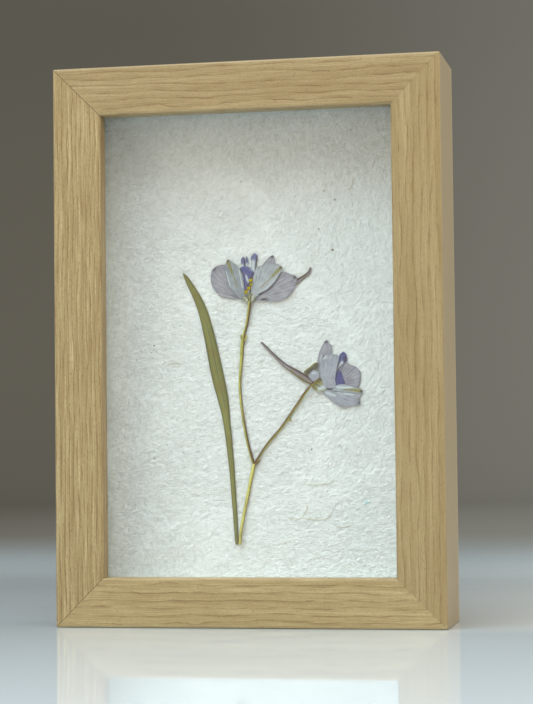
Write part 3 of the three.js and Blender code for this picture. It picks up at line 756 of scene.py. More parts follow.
add_petal("upper_violet_lobe_right", 0, PETAL_VIOLET, (-0.4, 113), [
    (-1.5, 114.6), (-1.5, 116.8), (-1.5, 118.5), (-0.5, 119.9), (0.5, 119.3), (0.7, 118.2),
    (0.3, 117), (0.1, 114.4)], veins=4, seed=6,
    dark=[((0.5, 118.6), (0.0, 114), 0.28)], pale=[((-0.8, 117), (-0.8, 114.3), 0.8)])
add_petal("upper_violet_body", 1, PETAL_VIOLET, (-3.7, 107), [
    (-4.2, 109.5), (-4.3, 112.6), (-5.3, 114.9), (-3.9, 115.8), (-2.3, 115.4), (-0.5, 113.5),
    (-1.2, 111.8), (-2.6, 109.4)], veins=7, seed=7,
    violet=[((-4.6, 115), (-1.2, 113.6), 0.9), ((-3.9, 112.6), (-3.8, 108.6), 0.45)],
    dark=[((-5.0, 115), (-3.9, 112.6), 0.2), ((-1.0, 113.2), (-1.6, 111.8), 0.25)],
    pale=[((-3.2, 112.6), (-2.4, 110.6), 0.34), ((-1.7, 114.6), (-1.2, 113.6), 0.3)])
add_petal("upper_petal_inner_left", 2, PETAL_BLUE, (-3.25, 104.1), [
    (-5.55, 105.6), (-7.25, 106.5), (-8.65, 108.7), (-10.05, 113.8), (-9.95, 116.2),
    (-9.15, 118.2), (-7.25, 116.8), (-5.55, 115.1), (-4.35, 113.3), (-4.05, 111), (-4.15, 106.6)],
    veins=10, curl=0.12, seed=8,
    # The second, thin dark stroke is painted shadow along the edge where this petal lies over the
    # one below.
    dark=[((-9.15, 118.2), (-9.1, 117.7), 0.45), ((-8.6, 108.9), (-6, 106), 0.08)],
    olive=[((-9.0, 117.4), (-8.6, 116.2), 0.55), ((-8.6, 116.2), (-7.7, 113.6), 0.36),
           ((-7.7, 113.6), (-6, 109), 0.14)],
    pale=[((-5.4, 114.6), (-4.4, 109), 0.17), ((-9.7, 114), (-8.4, 109.4), 0.13)])
add_petal("upper_petal_inner_right", 2, PETAL_PALE, (-1.05, 104.9), [
    (-1.45, 107.1), (-1.05, 110), (-0.35, 113.4), (0.65, 115.3), (3.65, 116.5), (5.55, 116.4),
    (8.65, 115.4), (8.85, 114), (6.65, 110.3), (4.15, 107.8), (1.15, 106.3)],
    veins=11, curl=0.12, seed=9,
    dark=[((8.7, 115.2), (8.2, 114.8), 0.35), ((8.5, 113.4), (6.6, 110.3), 0.18),
          ((6.6, 110.3), (4.1, 107.8), 0.22), ((4.1, 107.8), (1.2, 106.4), 0.3)],
    olive=[((8.4, 114.9), (7, 113.6), 0.62), ((7, 113.6), (5.6, 112.3), 0.42),
           ((5.6, 112.3), (1.6, 108.6), 0.16)],
    pale=[((6.2, 110.9), (3.6, 108.5), 0.2), ((3.6, 108.5), (1.0, 107.2), 0.16)])
add_petal("upper_cup", 3, CUP, (-2.1, 103.6), [
    (-3.6, 104.4), (-4.2, 105.9), (-2.8, 105.7), (-2.1, 106.4), (-1.2, 106.8), (-0.3, 105.9),
    (-0.3, 104.7)], veins=5, curl=0.1, seed=10,
    olive=[((-2.1, 103.6), (-2.0, 104.6), 0.5), ((-3.6, 104.6), (-3.0, 105.6), 0.2),
           ((-1.6, 106.2), (-1.4, 105), 0.2)],
    dark=[((-2.6, 106), (-2.3, 104.6), 0.14), ((-1.4, 106.6), (-1.7, 104.6), 0.12)],
    pale=[((-3.5, 105.4), (-2.9, 104.7), 0.3), ((-0.8, 105.9), (-1.3, 104.8), 0.32)])
print("upper petals:", sum(m.name.startswith("upper") and m.name.endswith("_pressed")
                            for m in bpy.data.meshes))

# %% [markdown]
# Pollen sacs and stamens
#
# Each sac is a bead of two lobes with a groove between them, and dry pollen makes it matt and
# grainy. A plain ball would be quicker, but the groove is what the eye looks for, so the radius of
# a ball is pinched along one plane. The thin stalks that carry the sacs have gone dark: they are
# swept like the threads.

# %% Anthers
def anther_material():
    """Pollen: yellow with olive shade in the hollows; grains far below a tenth of a millimetre are
    drawn at 0.15 mm so that they show."""
    material, tree, skin = new_material("dry_pollen", Roughness=0.85, Specular_IOR_Level=0.2)
    place = add(tree, "ShaderNodeTexCoord").node.outputs["Object"]
    grain = add(tree, "ShaderNodeTexNoise", {"Vector": place, "Scale": 2400.0, "Detail": 3.0})
    colour = add(tree, "ShaderNodeValToRGB", {"Fac": grain}, stops=[
        (0.34, linear("#463c02")), (0.46, linear("#9a8700")), (0.66, linear("#cfb900"))])
    bump = add(tree, "ShaderNodeBump", {"Height": grain, "Strength": 0.5, "Distance": 0.0001})
    connect(tree, skin, Base_Color=colour, Normal=bump)
    return material


def anther_grid(centre, radius, tilt_angle):
    """A ball pinched by a groove: the radius loses a third where the point is near the plane
    between the two lobes. From front to back the sac is pressed to half its width."""
    ball = unit_ball(24, 36)[2]
    along = ball[..., 0] * math.cos(tilt_angle) + ball[..., 2] * math.sin(tilt_angle)
    pinch = 1 - 0.32 * np.exp(-(along / 0.28) ** 2)
    radii = np.array([radius, radius * 0.5, radius])
    return (np.asarray(centre) + ball * pinch[..., None] * radii) * MM


POLLEN = anther_material()
SAC_Y, STALK_Y = 1.1, 1.25
ANTHERS = [("anther_1", 0.65, -1.55, 111.0, 0.4), ("anther_2", 0.53, -1.45, 109.7, 1.2),
           ("anther_3", 0.62, -2.2, 108.5, 0.2), ("anther_4", 0.68, -3.1, 107.3, 0.9)]
for name, radius, x, z, angle in ANTHERS:
    points, faces = joined([anther_grid((x, SAC_Y, z), radius, angle)])
    make_piece(name + "_sac", points, faces, POLLEN, [name])

# Dried filaments of the stamens: thin, dark and a little satin, like old thread.
FILAMENT = two_tone("dry_filament", "#3d3524", "#6b6236", 900.0, roughness=0.8, specular=0.5)
STALKS = [((-2.2, 105.6), (-1.5, 110.9)), ((-2.0, 105.6), (-1.5, 109.6)),
          ((-2.4, 105.5), (-2.9, 107.2))]
grids = []
for start, end in STALKS:
    flat = smooth_curve([start, ((start[0] + end[0]) / 2 + 0.12, (start[1] + end[1]) / 2), end], 14)
    path = np.stack([flat[:, 0], np.full(len(flat), STALK_Y), flat[:, 1]], axis=1)
    grids.append(sweep_body(path, np.full(len(flat), 0.1), np.full(len(flat), 0.08), sides=8)[0])
points, faces = joined(grids)
make_piece("stamen_stalks", points, faces, FILAMENT)
print("anthers", len(ANTHERS), "stalks", len(STALKS))

# %% [markdown]
# The lower flower
#
# It faces to the right, so the spur points back to the left. Its petals are folded over each other:
# one long petal stands up at the back, a broad one covers the middle, and two form the lip below.
# The same function makes them, because only the outlines, the layers and the marks differ.

# %% Lower flower petals
add_petal("lower_petal_top", 0, PETAL_GREY, (20.9, 81), [
    (20, 83.3), (20.1, 85.3), (20.8, 87.7), (21.7, 89.6), (23, 91), (24.2, 90), (24.8, 88.2),
    (24.3, 85.4)], veins=9, seed=11,
    dark=[((23, 91), (22.9, 90.5), 0.4)],
    pale=[((21.2, 84.4), (21.4, 86), 0.4)])
add_petal("lower_petal_right", 0, PETAL_GREY, (26.3, 77), [
    (26.9, 82), (27.9, 83), (29.5, 83.7), (31.4, 82.9), (33.4, 81.7), (34.1, 80.7), (34, 79),
    (33.5, 76.9), (32.3, 75.5)], veins=12, seed=12, dark=[((34.1, 80.8), (33.8, 80.8), 0.25)])
add_petal("lower_violet_lobe", 1, PETAL_VIOLET, (26.75, 82), [
    (26.85, 84.2), (27.25, 86.2), (28.35, 87.3), (29.25, 86.8), (29.75, 85.3), (29.45, 84.1),
    (28.45, 83.6)], veins=5, seed=13, violet=[((28.6, 86.6), (29.3, 84.6), 0.7)],
    dark=[((29.4, 85.6), (28.9, 84.3), 0.4)], pale=[((26.9, 82.4), (28.1, 83.9), 0.45)])
add_petal("lower_violet_wedge", 1, PETAL_VIOLET, (26.85, 81.7), [
    (27.65, 80.9), (28.35, 79.4), (28.85, 76.7), (27.15, 76.2), (25.55, 76.7), (26.05, 79.9)],
    veins=5, seed=14, violet=[((27, 80.5), (27.4, 77), 1.3)])
add_petal("lower_petal_bottom", 1, PETAL_LAVENDER, (21.05, 75.2), [
    (25.15, 75.3), (30.15, 75), (34.55, 74.1), (33.85, 72.9), (33.25, 71.9), (33.85, 71),
    (33.35, 70.4), (29.65, 69.7), (27.25, 69.9), (25.25, 71), (22.25, 73.7)], veins=11, seed=15,
    dark=[((33.75, 71), (33.4, 70.9), 0.38)],
    pale=[((22.8, 74.3), (25.8, 73.2), 0.3), ((26.5, 74.4), (31.5, 73.4), 0.26)])
add_petal("lower_calyx", 2, CALYX, (16.35, 80), [
    (15.6, 81.1), (17.3, 82.5), (19.4, 84.0), (20.3, 83.6), (19.95, 82.1), (18.05, 80.8),
    (17.35, 79.5)], veins=6, curl=0.0, seed=16,
    dark=[((16.2, 80.6), (19.6, 83.1), 0.16), ((17.6, 81.0), (19.8, 82.6), 0.12)],
    olive=[((15.8, 81.2), (19.5, 83.9), 0.2), ((17.2, 79.8), (18, 80.8), 0.2)])
add_petal("lower_cup", 2, CUP, (17.95, 76.6), [
    (19.35, 77.8), (20.95, 78.3), (22.35, 76.9), (22.95, 75.4), (20.95, 74.5), (19.05, 75.2)],
    veins=5, seed=17, olive=[((18, 76.5), (19.4, 75.4), 0.5), ((19, 77.4), (21, 77.9), 0.3)],
    dark=[((19.6, 76.9), (20.8, 76.2), 0.14)], pale=[((20.6, 75.6), (22.4, 76.1), 0.75)])
add_petal("lower_petal_folded", 2, PETAL_PALE, (24.5, 75), [
    (26.1, 76.5), (28.9, 76.9), (32.6, 75.7), (34.5, 75), (34.9, 74.4), (34.4, 74), (30.3, 74.2)],
    veins=8, curl=0.0, seed=18, dark=[((34.7, 74.5), (34.2, 74.5), 0.4)],
    olive=[((34.2, 74.6), (32.3, 74.9), 0.6), ((32.3, 74.9), (30.8, 75.05), 0.42),
           ((30.8, 75.05), (28.6, 75.2), 0.2)],
    pale=[((26.4, 76), (31, 75.7), 0.42)])
add_petal("lower_petal_middle", 3, PETAL_LAVENDER, (22.95, 75.7), [
    (21.95, 77.2), (21.15, 79.3), (20.75, 81.9), (21.55, 85.4), (22.55, 86.4), (26.75, 86.2),
    (26.95, 83.6), (26.25, 80.8), (25.85, 78.6), (25.95, 76.3), (24.85, 75.6)], veins=10, seed=19,
    curl=0.0, dark=[((21.7, 85.6), (22.3, 86.1), 0.2), ((26.9, 84), (26.1, 80), 0.1)],
    pale=[((22.2, 85.4), (22.9, 85.7), 0.4)])
add_petal("lower_petal_small", 3, PETAL_LAVENDER, (18.4, 78.1), [
    (17.5, 79), (17.3, 80.3), (18.2, 81.4), (19.6, 81.5), (20.6, 80.6), (20.6, 79.1),
    (19.6, 78.1)], veins=6, seed=20,
    dark=[((17.4, 80.4), (18.3, 81.5), 0.1)], pale=[((18.4, 80.5), (19.6, 80.7), 0.24)])
print("lower petals:", sum(m.name.startswith("lower") and m.name.endswith("_pressed")
                            for m in bpy.data.meshes))

# %% [markdown]
# The finish of leaf and stalks
#
# A pressed stalk is green on the side that faced the light and brown-purple on the other, and it
# browns from one end to the other. Fine streaks run along it, because its vessels are parallel. The
# section's own angle and the way along the path are stored on the mesh, so that the colour can
# differ from side to side and from end to end.

# %% Material: dry stalk
def dry_stalk(name, stops, streak_mm, ridge_scale, moves=(), contrast=0.24):
    """Colour across the strip comes from a ramp, and streaks run lengthwise, because the vessels
    in a stalk are parallel. The stored value holds the cosine and sine of the section's angle and
    the millimetres along the path. Each move shifts the ramp by its third value before its first
    millimetre and by its fourth value after its second."""
    material, tree, skin = new_material(name, Roughness=0.6, IOR=1.45, Specular_IOR_Level=0.4)
    strip = add(tree, "ShaderNodeAttribute", attribute_name="strip").node.outputs["Vector"]
    axes = add(tree, "ShaderNodeSeparateXYZ", {"Vector": strip}).node.outputs
    long = add(tree, "ShaderNodeMapping", {
        "Vector": strip, "Scale": (ridge_scale, 0, 1 / streak_mm)})
    streak = add(tree, "ShaderNodeTexNoise", {
        "Vector": long, "Scale": 1.0, "Detail": 3.0, "Roughness": 0.6})
    side = add(tree, "ShaderNodeMath", {0: axes["X"], 1: 0.5, 2: 0.5}, operation="MULTIPLY_ADD")
    sway = add(tree, "ShaderNodeMath", {0: streak, 1: 0.5, 2: -0.25}, operation="MULTIPLY_ADD")
    side = add(tree, "ShaderNodeMath", {0: side, 1: sway}, operation="ADD")
    for start, end, before, after in moves:
        moved = add(tree, "ShaderNodeMapRange", {
            "Value": axes["Z"], "From Min": start, "From Max": end,
            "To Min": before, "To Max": after})
        side = add(tree, "ShaderNodeMath", {0: side, 1: moved}, operation="ADD")
    colour = add(tree, "ShaderNodeValToRGB", {"Fac": side},
                 stops=[(place, linear(shade)) for place, shade in stops])
    shade = add(tree, "ShaderNodeMapRange", {
        "Value": streak, "From Min": 0.3, "From Max": 0.7,
        "To Min": 0.96 - contrast, "To Max": 0.96 + contrast})
    colour = add(tree, "ShaderNodeVectorMath", {0: colour, "Scale": shade}, operation="SCALE")
    place = add(tree, "ShaderNodeTexCoord").node.outputs["Object"]
    patch = add(tree, "ShaderNodeTexNoise", {"Vector": place, "Scale": 330.0, "Detail": 3.0})
    patch = add(tree, "ShaderNodeMapRange", {
        "Value": patch, "From Min": 0.5, "From Max": 0.72, "To Max": 0.55})
    colour = add(tree, "ShaderNodeMixRGB", {
        "Fac": patch, "Color1": colour, "Color2": linear("#76683a")})
    bump = add(tree, "ShaderNodeBump", {"Height": streak, "Strength": 0.5, "Distance": 0.00015})
    connect(tree, skin, Base_Color=colour, Normal=bump)
    return material


LEAF = dry_stalk("pressed_leaf", [
    (0.0, "#5c6132"), (0.12, "#777740"), (0.42, "#878549"), (0.55, "#696c43"), (0.64, "#848449"),
    (0.86, "#6d6f3b"), (1.0, "#54582e")], 20, 13, contrast=0.42)
STALK_LOWER = dry_stalk("stalk_yellow_green", [
    (0.0, "#94824f"), (0.25, "#c0b962"), (0.6, "#d7d276"), (1.0, "#bcb55e")], 8, 2)
STALK_LEFT = dry_stalk("stalk_half_brown", [
    (0.0, "#5c4a34"), (0.3, "#756538"), (0.48, "#a8a350"), (1.0, "#bcbb62")], 10, 2,
    [(4, 24, -0.26, 0.22), (39, 44, 0, -0.36)])
STALK_RIGHT = dry_stalk("stalk_brown", [
    (0.0, "#adab50"), (0.35, "#a29c48"), (0.56, "#735537"), (1.0, "#543830")], 10, 2,
    [(0, 8, 0.25, 0.05)])
SPUR = dry_stalk("dry_spur", [
    (0.0, "#64582f"), (0.13, "#857c60"), (0.4, "#948e9a"), (0.62, "#7a6e77"), (0.82, "#523f42"),
    (1.0, "#43332f")], 9, 6, [(6, 18, 0.12, -0.1)])
print("stalk finishes:", [m.name for m in (LEAF, STALK_LOWER, STALK_LEFT, STALK_RIGHT, SPUR)])

# %% [markdown]
# Leaf, stems and spurs
#
# Each is an oval section swept along its path, and pressing made it flat. The leaf keeps its
# lengthwise nerves as low ridges. Where a stem crosses the leaf or runs over a petal its path
# climbs a little. The second number of each point is that depth: smaller is nearer to the glass.

# %% Leaf, stems and spurs
def add_strip(name, material, knots, thick, ridges=0, ridge=0.0, count=120, sides=32):
    """knots give X, Y, Z and half the width in millimetres; thick is the depth as a share of the
    half width, or a fixed half depth where it is negative."""
    line = smooth_curve([(x, z, y, half) for x, y, z, half in knots], count)
    path = line[:, [0, 2, 1]]
    half = np.maximum(line[:, 3], 0.05)
    depth = np.full(count, -thick) if thick < 0 else half * thick
    from_end = np.minimum(np.arange(count) + 1, np.arange(count)[::-1] + 1)
    round_end = np.minimum(1, from_end / 3) ** 0.5
    grid, strip = sweep_body(path, half * round_end, depth * round_end, ridges, ridge, sides)
    points, faces = joined([grid])
    return make_piece(name + "_pressed", points, faces, material, [name],
                      {"strip": strip.reshape(-1, 3)}, sharp=60)


LEAF_Y = PAPER_FRONT - 0.1
add_strip("leaf", LEAF, [
    (-24.4, LEAF_Y, 114.2, 0.1), (-22.6, LEAF_Y, 111.4, 0.8), (-18.5, LEAF_Y, 103.4, 1.4),
    (-16, LEAF_Y, 94.8, 1.7), (-13.1, LEAF_Y, 80.8, 2.0), (-11.2, LEAF_Y, 72.3, 1.7),
    (-10.2, LEAF_Y, 65.8, 1.2), (-8.8, LEAF_Y, 52.6, 0.9), (-7.9, LEAF_Y, 39.2, 0.75),
    (-7.1, LEAF_Y, 25.6, 0.6)], -0.17, ridges=14, ridge=0.04, count=240, sides=84)

STEM_Y, OVER_LEAF, OVER_CUP, OVER_PETAL = 1.72, 1.25, 1.1, 0.85
add_strip("stem_lower", STALK_LOWER, [
    (-6.05, OVER_LEAF, 25.5, 0.5), (-5.35, OVER_LEAF, 31.6, 0.5), (-3.35, STEM_Y, 41.5, 0.52),
    (-1.15, STEM_Y, 51.6, 0.6)], 0.8, ridges=6, ridge=0.05)
add_strip("stem_left", STALK_LEFT, [
    (-1.3, STEM_Y, 51.5, 0.5), (-3.3, STEM_Y, 58.9, 0.46), (-4.9, STEM_Y, 68.6, 0.44),
    (-5.6, STEM_Y, 76.8, 0.44), (-5.1, STEM_Y, 84.5, 0.5), (-4.5, STEM_Y, 91.6, 0.66),
    (-3.9, STEM_Y, 94.2, 0.48), (-3, STEM_Y, 97.3, 0.46), (-1.95, OVER_CUP, 103.2, 0.54),
    (-1.85, OVER_CUP, 104.5, 0.4)], 0.8, ridges=6, ridge=0.05, count=160)
add_strip("stem_right", STALK_RIGHT, [
    (-1.0, STEM_Y, 51.6, 0.42), (3.1, STEM_Y, 57.7, 0.4), (8.2, STEM_Y, 63.6, 0.4),
    (13.8, STEM_Y, 71.4, 0.42), (16.4, OVER_CUP, 74.8, 0.42), (18.1, OVER_PETAL, 76.7, 0.34),
    (21.2, OVER_PETAL, 79.2, 0.2)], 0.8, ridges=6, ridge=0.05, count=160)
add_strip("upper_spur", SPUR, [
    (11.5, 1.97, 109.1, 0.95), (13.5, 1.9, 110.3, 0.78), (16.1, 1.8, 112, 0.52),
    (17.7, 1.75, 113.3, 0.46), (18.2, 1.7, 114.8, 0.32)], -0.2, ridges=6, ridge=0.05)
add_strip("lower_spur", SPUR, [
    (1.55, 1.6, 91, 0.34), (3.85, 1.6, 88.6, 0.42), (5.95, 1.6, 86.5, 0.46),
    (9.15, 1.55, 83.5, 0.63), (11.95, 1.55, 81.6, 0.82), (14.75, 1.5, 79.8, 1.04),
    (16.6, 1.5, 78.5, 0.95), (18.4, 1.5, 77.4, 0.6)], 0.22,
    ridges=8, ridge=0.05, count=160, sides=48)
print("strips:", sum(mesh.attributes.get("strip") is not None for mesh in bpy.data.meshes))

# %% [markdown]
# Bracts
#
# Small dry scales sit at the forks, where a bud or a side stem grew. Each is two or three
# millimetres long, wide in its middle and pointed, so it is one more swept body. The last number of
# each moves it along the colours of the brown stalk, because some have browned more than others.

# %% Bracts
BRACTS = [((-1.0, 51.0), (1.0, 53.0), -0.1), ((-4.7, 91.2), (-5.1, 93.5), -0.3),
          ((-4.1, 91.4), (-3.0, 93.6), -0.8), ((10.3, 66.3), (11.4, 65.0), -0.9)]
BRACT_Y, BRACT_HALF_WIDTH = 1.5, 0.36
grids, strips = [], []
for (x0, z0), (x1, z1), browned in BRACTS:
    flat = smooth_curve([(x0, z0), ((x0 + x1) / 2 + 0.1, (z0 + z1) / 2), (x1, z1)], 24)
    path = np.stack([flat[:, 0], np.full(24, BRACT_Y), flat[:, 1]], axis=1)
    half = BRACT_HALF_WIDTH * np.sin(np.linspace(0.5, math.pi - 0.12, 24)) ** 0.8
    grid, strip = sweep_body(path, half, half * 0.4, sides=16)
    grids.append(grid)
    strips.append(strip.reshape(-1, 3) * [0.6, 1, 1] + [browned, 0, 0])
points, faces = joined(grids)
make_piece("bracts", points, faces, STALK_RIGHT,
           data={"strip": np.concatenate(strips)})
print("bracts", len(BRACTS))

# %% [markdown]
# Glass
#
# A 2 mm pane of float glass. Its surfaces are true and its edges are hidden in the rabbet, so a
# slab with a small bevel is all the shape it needs. It is clear, and it throws no shadow of its
# own, so that soft light reaches the paper as it does through real glass.

# %% Glass pane
def slab(name, node, material, bevel_mm):
    """A box the size of its solid, from a two by two sheet with a thickness, and a small bevel."""
    low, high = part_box(node)
    x, z = np.meshgrid([low.x, high.x], [low.z, high.z])
    mid = np.stack([x, np.full_like(x, (low.y + high.y) / 2), z], axis=2)
    points, faces = sheet_body(mid, high.y - low.y)
    piece = make_piece(name, points, faces, material, [node], sharp=30)
    bevel = piece.modifiers.new("edge", "BEVEL")
    bevel.width = bevel_mm * MM
    bevel.segments = 2
    return piece


# Soda-lime glass, floated on tin and so truly flat: no roughness, and the eye sees through it.
FLOAT_GLASS = new_material(
    "float_glass", Base_Color=linear("#fafcfb"), Roughness=0.0, IOR=1.5, Transmission_Weight=1.0)[0]
pane = slab("clear_pane", "glass_pane", FLOAT_GLASS, 0.2)
pane.visible_shadow = False
print(pane.name, [round(v, 4) for v in pane.dimensions])

# %% [markdown]
# The back
#
# Behind the paper are a grey card and a brown fibreboard. White strips along the sides keep the
# paper away from the glass. All are cut from flat stock, so each is a slab with a small bevel, and
# the finish does the rest: pressed fibre, plain pulp and fine foam.

# %% Board, card and strips
def fibreboard():
    """Hardboard: brown pressed fibre with a mesh print from the press on its back. The print's
    real pitch is about 1 mm, so one wave is a full turn in a thousandth of a metre."""
    material, tree, skin = new_material("hardboard", Roughness=0.78, Specular_IOR_Level=0.3)
    place = add(tree, "ShaderNodeTexCoord").node.outputs["Object"]
    fibre = add(tree, "ShaderNodeTexNoise", {
        "Vector": place, "Scale": 900.0, "Detail": 5.0, "Roughness": 0.7})
    cloud = add(tree, "ShaderNodeTexNoise", {"Vector": place, "Scale": 45.0, "Detail": 5.0})
    tone = add(tree, "ShaderNodeMixRGB", {"Fac": 0.78, "Color1": cloud, "Color2": fibre})
    colour = add(tree, "ShaderNodeValToRGB", {"Fac": tone}, stops=[
        (0.38, linear("#6b4c31")), (0.5, linear("#8d6a48")), (0.64, linear("#b08b61"))])
    axes = add(tree, "ShaderNodeSeparateXYZ", {"Vector": place}).node.outputs
    waves = []
    for key in ("X", "Z"):
        angle = add(tree, "ShaderNodeMath", {0: axes[key], 1: 6283.0}, operation="MULTIPLY")
        waves.append(add(tree, "ShaderNodeMath", {0: angle}, operation="SINE"))
    screen = add(tree, "ShaderNodeMath", {0: waves[0], 1: waves[1]}, operation="MULTIPLY")
    height = add(tree, "ShaderNodeMath", {0: screen, 1: 0.4, 2: fibre}, operation="MULTIPLY_ADD")
    bump = add(tree, "ShaderNodeBump", {"Height": height, "Strength": 0.5, "Distance": 0.0002})
    connect(tree, skin, Base_Color=colour, Normal=bump)
    return material


def pulp_board(name, dark, light, scale):
    """Plain pulp or foam: two close tones in fine noise, and a little tooth."""
    material, tree, skin = new_material(name, Roughness=0.9, Specular_IOR_Level=0.25)
    place = add(tree, "ShaderNodeTexCoord").node.outputs["Object"]
    fibre = add(tree, "ShaderNodeTexNoise", {"Vector": place, "Scale": scale, "Detail": 5.0})
    colour = add(tree, "ShaderNodeValToRGB", {"Fac": fibre}, stops=[
        (0.35, linear(dark)), (0.65, linear(light))])
    bump = add(tree, "ShaderNodeBump", {"Height": fibre, "Strength": 0.3, "Distance": 0.0001})
    connect(tree, skin, Base_Color=colour, Normal=bump)
    return material


slab("back_panel", "backboard", fibreboard(), 0.3)
# Grey card is rolled from waste paper, so it is matt and softly mottled.
GREY_CARD = pulp_board("grey_card", "#a8a192", "#bcb5a6", 800.0)
slab("card_layer", "mount_card", GREY_CARD, 0.1)
# Extruded foam has cells well under a millimetre, which gives an even matt white.
FOAM = pulp_board("foam_strip", "#dfe1da", "#eef0ea", 1500.0)
for side in ("left", "right", "top", "bottom"):
    slab("foam_" + side, "spacer_" + side, FOAM, 0.1)

# %% [markdown]
# Steel tabs
#
# The tabs are stamped from thin spring steel, pushed into the rail and bent over the board. A sheet
# with a thickness is all they need: one direction of the grid runs out along the blade, the other
# across it. The blade narrows at its free end, which lifts so that a finger can catch it.

# %% Steel tabs
def tab_steel():
    """Zinc-plated spring steel: grey and half glossy, with a faint cloudy spangle where the zinc
    took unevenly. The spangle changes the gloss as well as the tone."""
    material, tree, skin = new_material("zinc_plated_steel", Metallic=1.0)
    place = add(tree, "ShaderNodeTexCoord").node.outputs["Object"]
    spangle = add(tree, "ShaderNodeTexNoise", {"Vector": place, "Scale": 500.0, "Detail": 2.0})
    colour = add(tree, "ShaderNodeValToRGB", {"Fac": spangle}, stops=[
        (0.35, linear("#a6a8aa")), (0.65, linear("#c4c6c8"))])
    rough = add(tree, "ShaderNodeMapRange", {"Value": spangle, "To Min": 0.25, "To Max": 0.5})
    connect(tree, skin, Base_Color=colour, Roughness=rough)
    return material


# In millimetres: the part inside the rail, the part outside, half the width, the lift of the free
# end, and how far the blade lies behind the face of the frame.
TAB_IN_RAIL, TAB_REACH, TAB_HALF_WIDTH, TAB_LIFT, TAB_DEPTH = 4.4, 6.9, 3.4, 1.3, 24.15


def tab_grid(along):
    """Blade in the rail's own frame. Across it runs the width, which rounds off over the last
    fifth of its length. Along it the blade is flat, and the last third lifts as a parabola."""
    share = np.linspace(0, 1, 36)[:, None]
    side = np.linspace(-1, 1, 24)[None, :]
    inward = WALL - TAB_IN_RAIL + share * (TAB_IN_RAIL + TAB_REACH)
    tip = np.clip((share - 0.8) / 0.2, 0, 1)
    half = TAB_HALF_WIDTH * np.sqrt(1 - 0.75 * tip ** 2)
    back = TAB_DEPTH + TAB_LIFT * np.clip((share - 0.7) / 0.3, 0, 1) ** 2
    return np.stack(np.broadcast_arrays(inward, back, along + side * half), axis=2)


ZINC = tab_steel()
CORNERS = {name: (turns, corner) for name, _, turns, corner, *_ in RAILS}
TABS = [("tab_left_low", "rail_left", 45), ("tab_left_high", "rail_left", 135),
        ("tab_top", "rail_top", 63), ("tab_right_high", "rail_right", 45),
        ("tab_right_low", "rail_right", 135), ("tab_bottom", "rail_bottom", 63)]
for name, rail, along in TABS:
    mid = place_rail(tab_grid(along), *CORNERS[rail])
    points, faces = sheet_body(mid, 0.4 * MM)
    make_piece(name + "_bent", points, faces, ZINC, [name])
print("tabs", len(TABS))

# %% [markdown]
# Worn corners
#
# The foil has chipped at the two lower corners, as on any frame that has been stood on tables. The
# pale core shows as a grain no bigger than a millimetre. Cutting notches into the rails would need
# a much finer mesh, and a small pebble set into each corner gives the same look.

# %% Corner chips
# Torn fibreboard and the white back of the foil: pale, dry and a little rough.
CHIPPED_EDGE = two_tone("chipped_edge", "#c9c5b4", "#eeece2", 1500.0, roughness=0.8, specular=0.5)
chips = [pebble_body((-62.25, -15.77, 1.5), (0.5, 0.17, 0.4), 0.2, 5),
         pebble_body((62.3, -15.77, 1.3), (0.34, 0.17, 0.34), 0.2, 6)]
points, faces = joined(chips)
make_piece("corner_chips", points, faces, CHIPPED_EDGE)
print("chips", len(chips))

# %% [markdown]
# Table and backdrop
#
# The frame stands on a pale, slightly glossy table in front of a warm grey wall that is far away.
# One sheet makes both: it runs flat under the frame and bends up on a wide arc, so that no hard
# line shows behind it. The colour and the gloss change slowly from the table to the wall.

# %% Stage
def stage_sheet(name, grid, material):
    """A plain grid for the table or backdrop. It is not attached to the object's root."""
    rows, cols = grid.shape[:2]
    mesh = bpy.data.meshes.new(name)
    mesh.from_pydata(grid.reshape(-1, 3).tolist(), [], quads(rows, cols)[:, ::-1].tolist())
    mesh.shade_smooth()
    mesh.materials.append(material)
    sheet = bpy.data.objects.new(name, mesh)
    bpy.context.collection.objects.link(sheet)
    return sheet


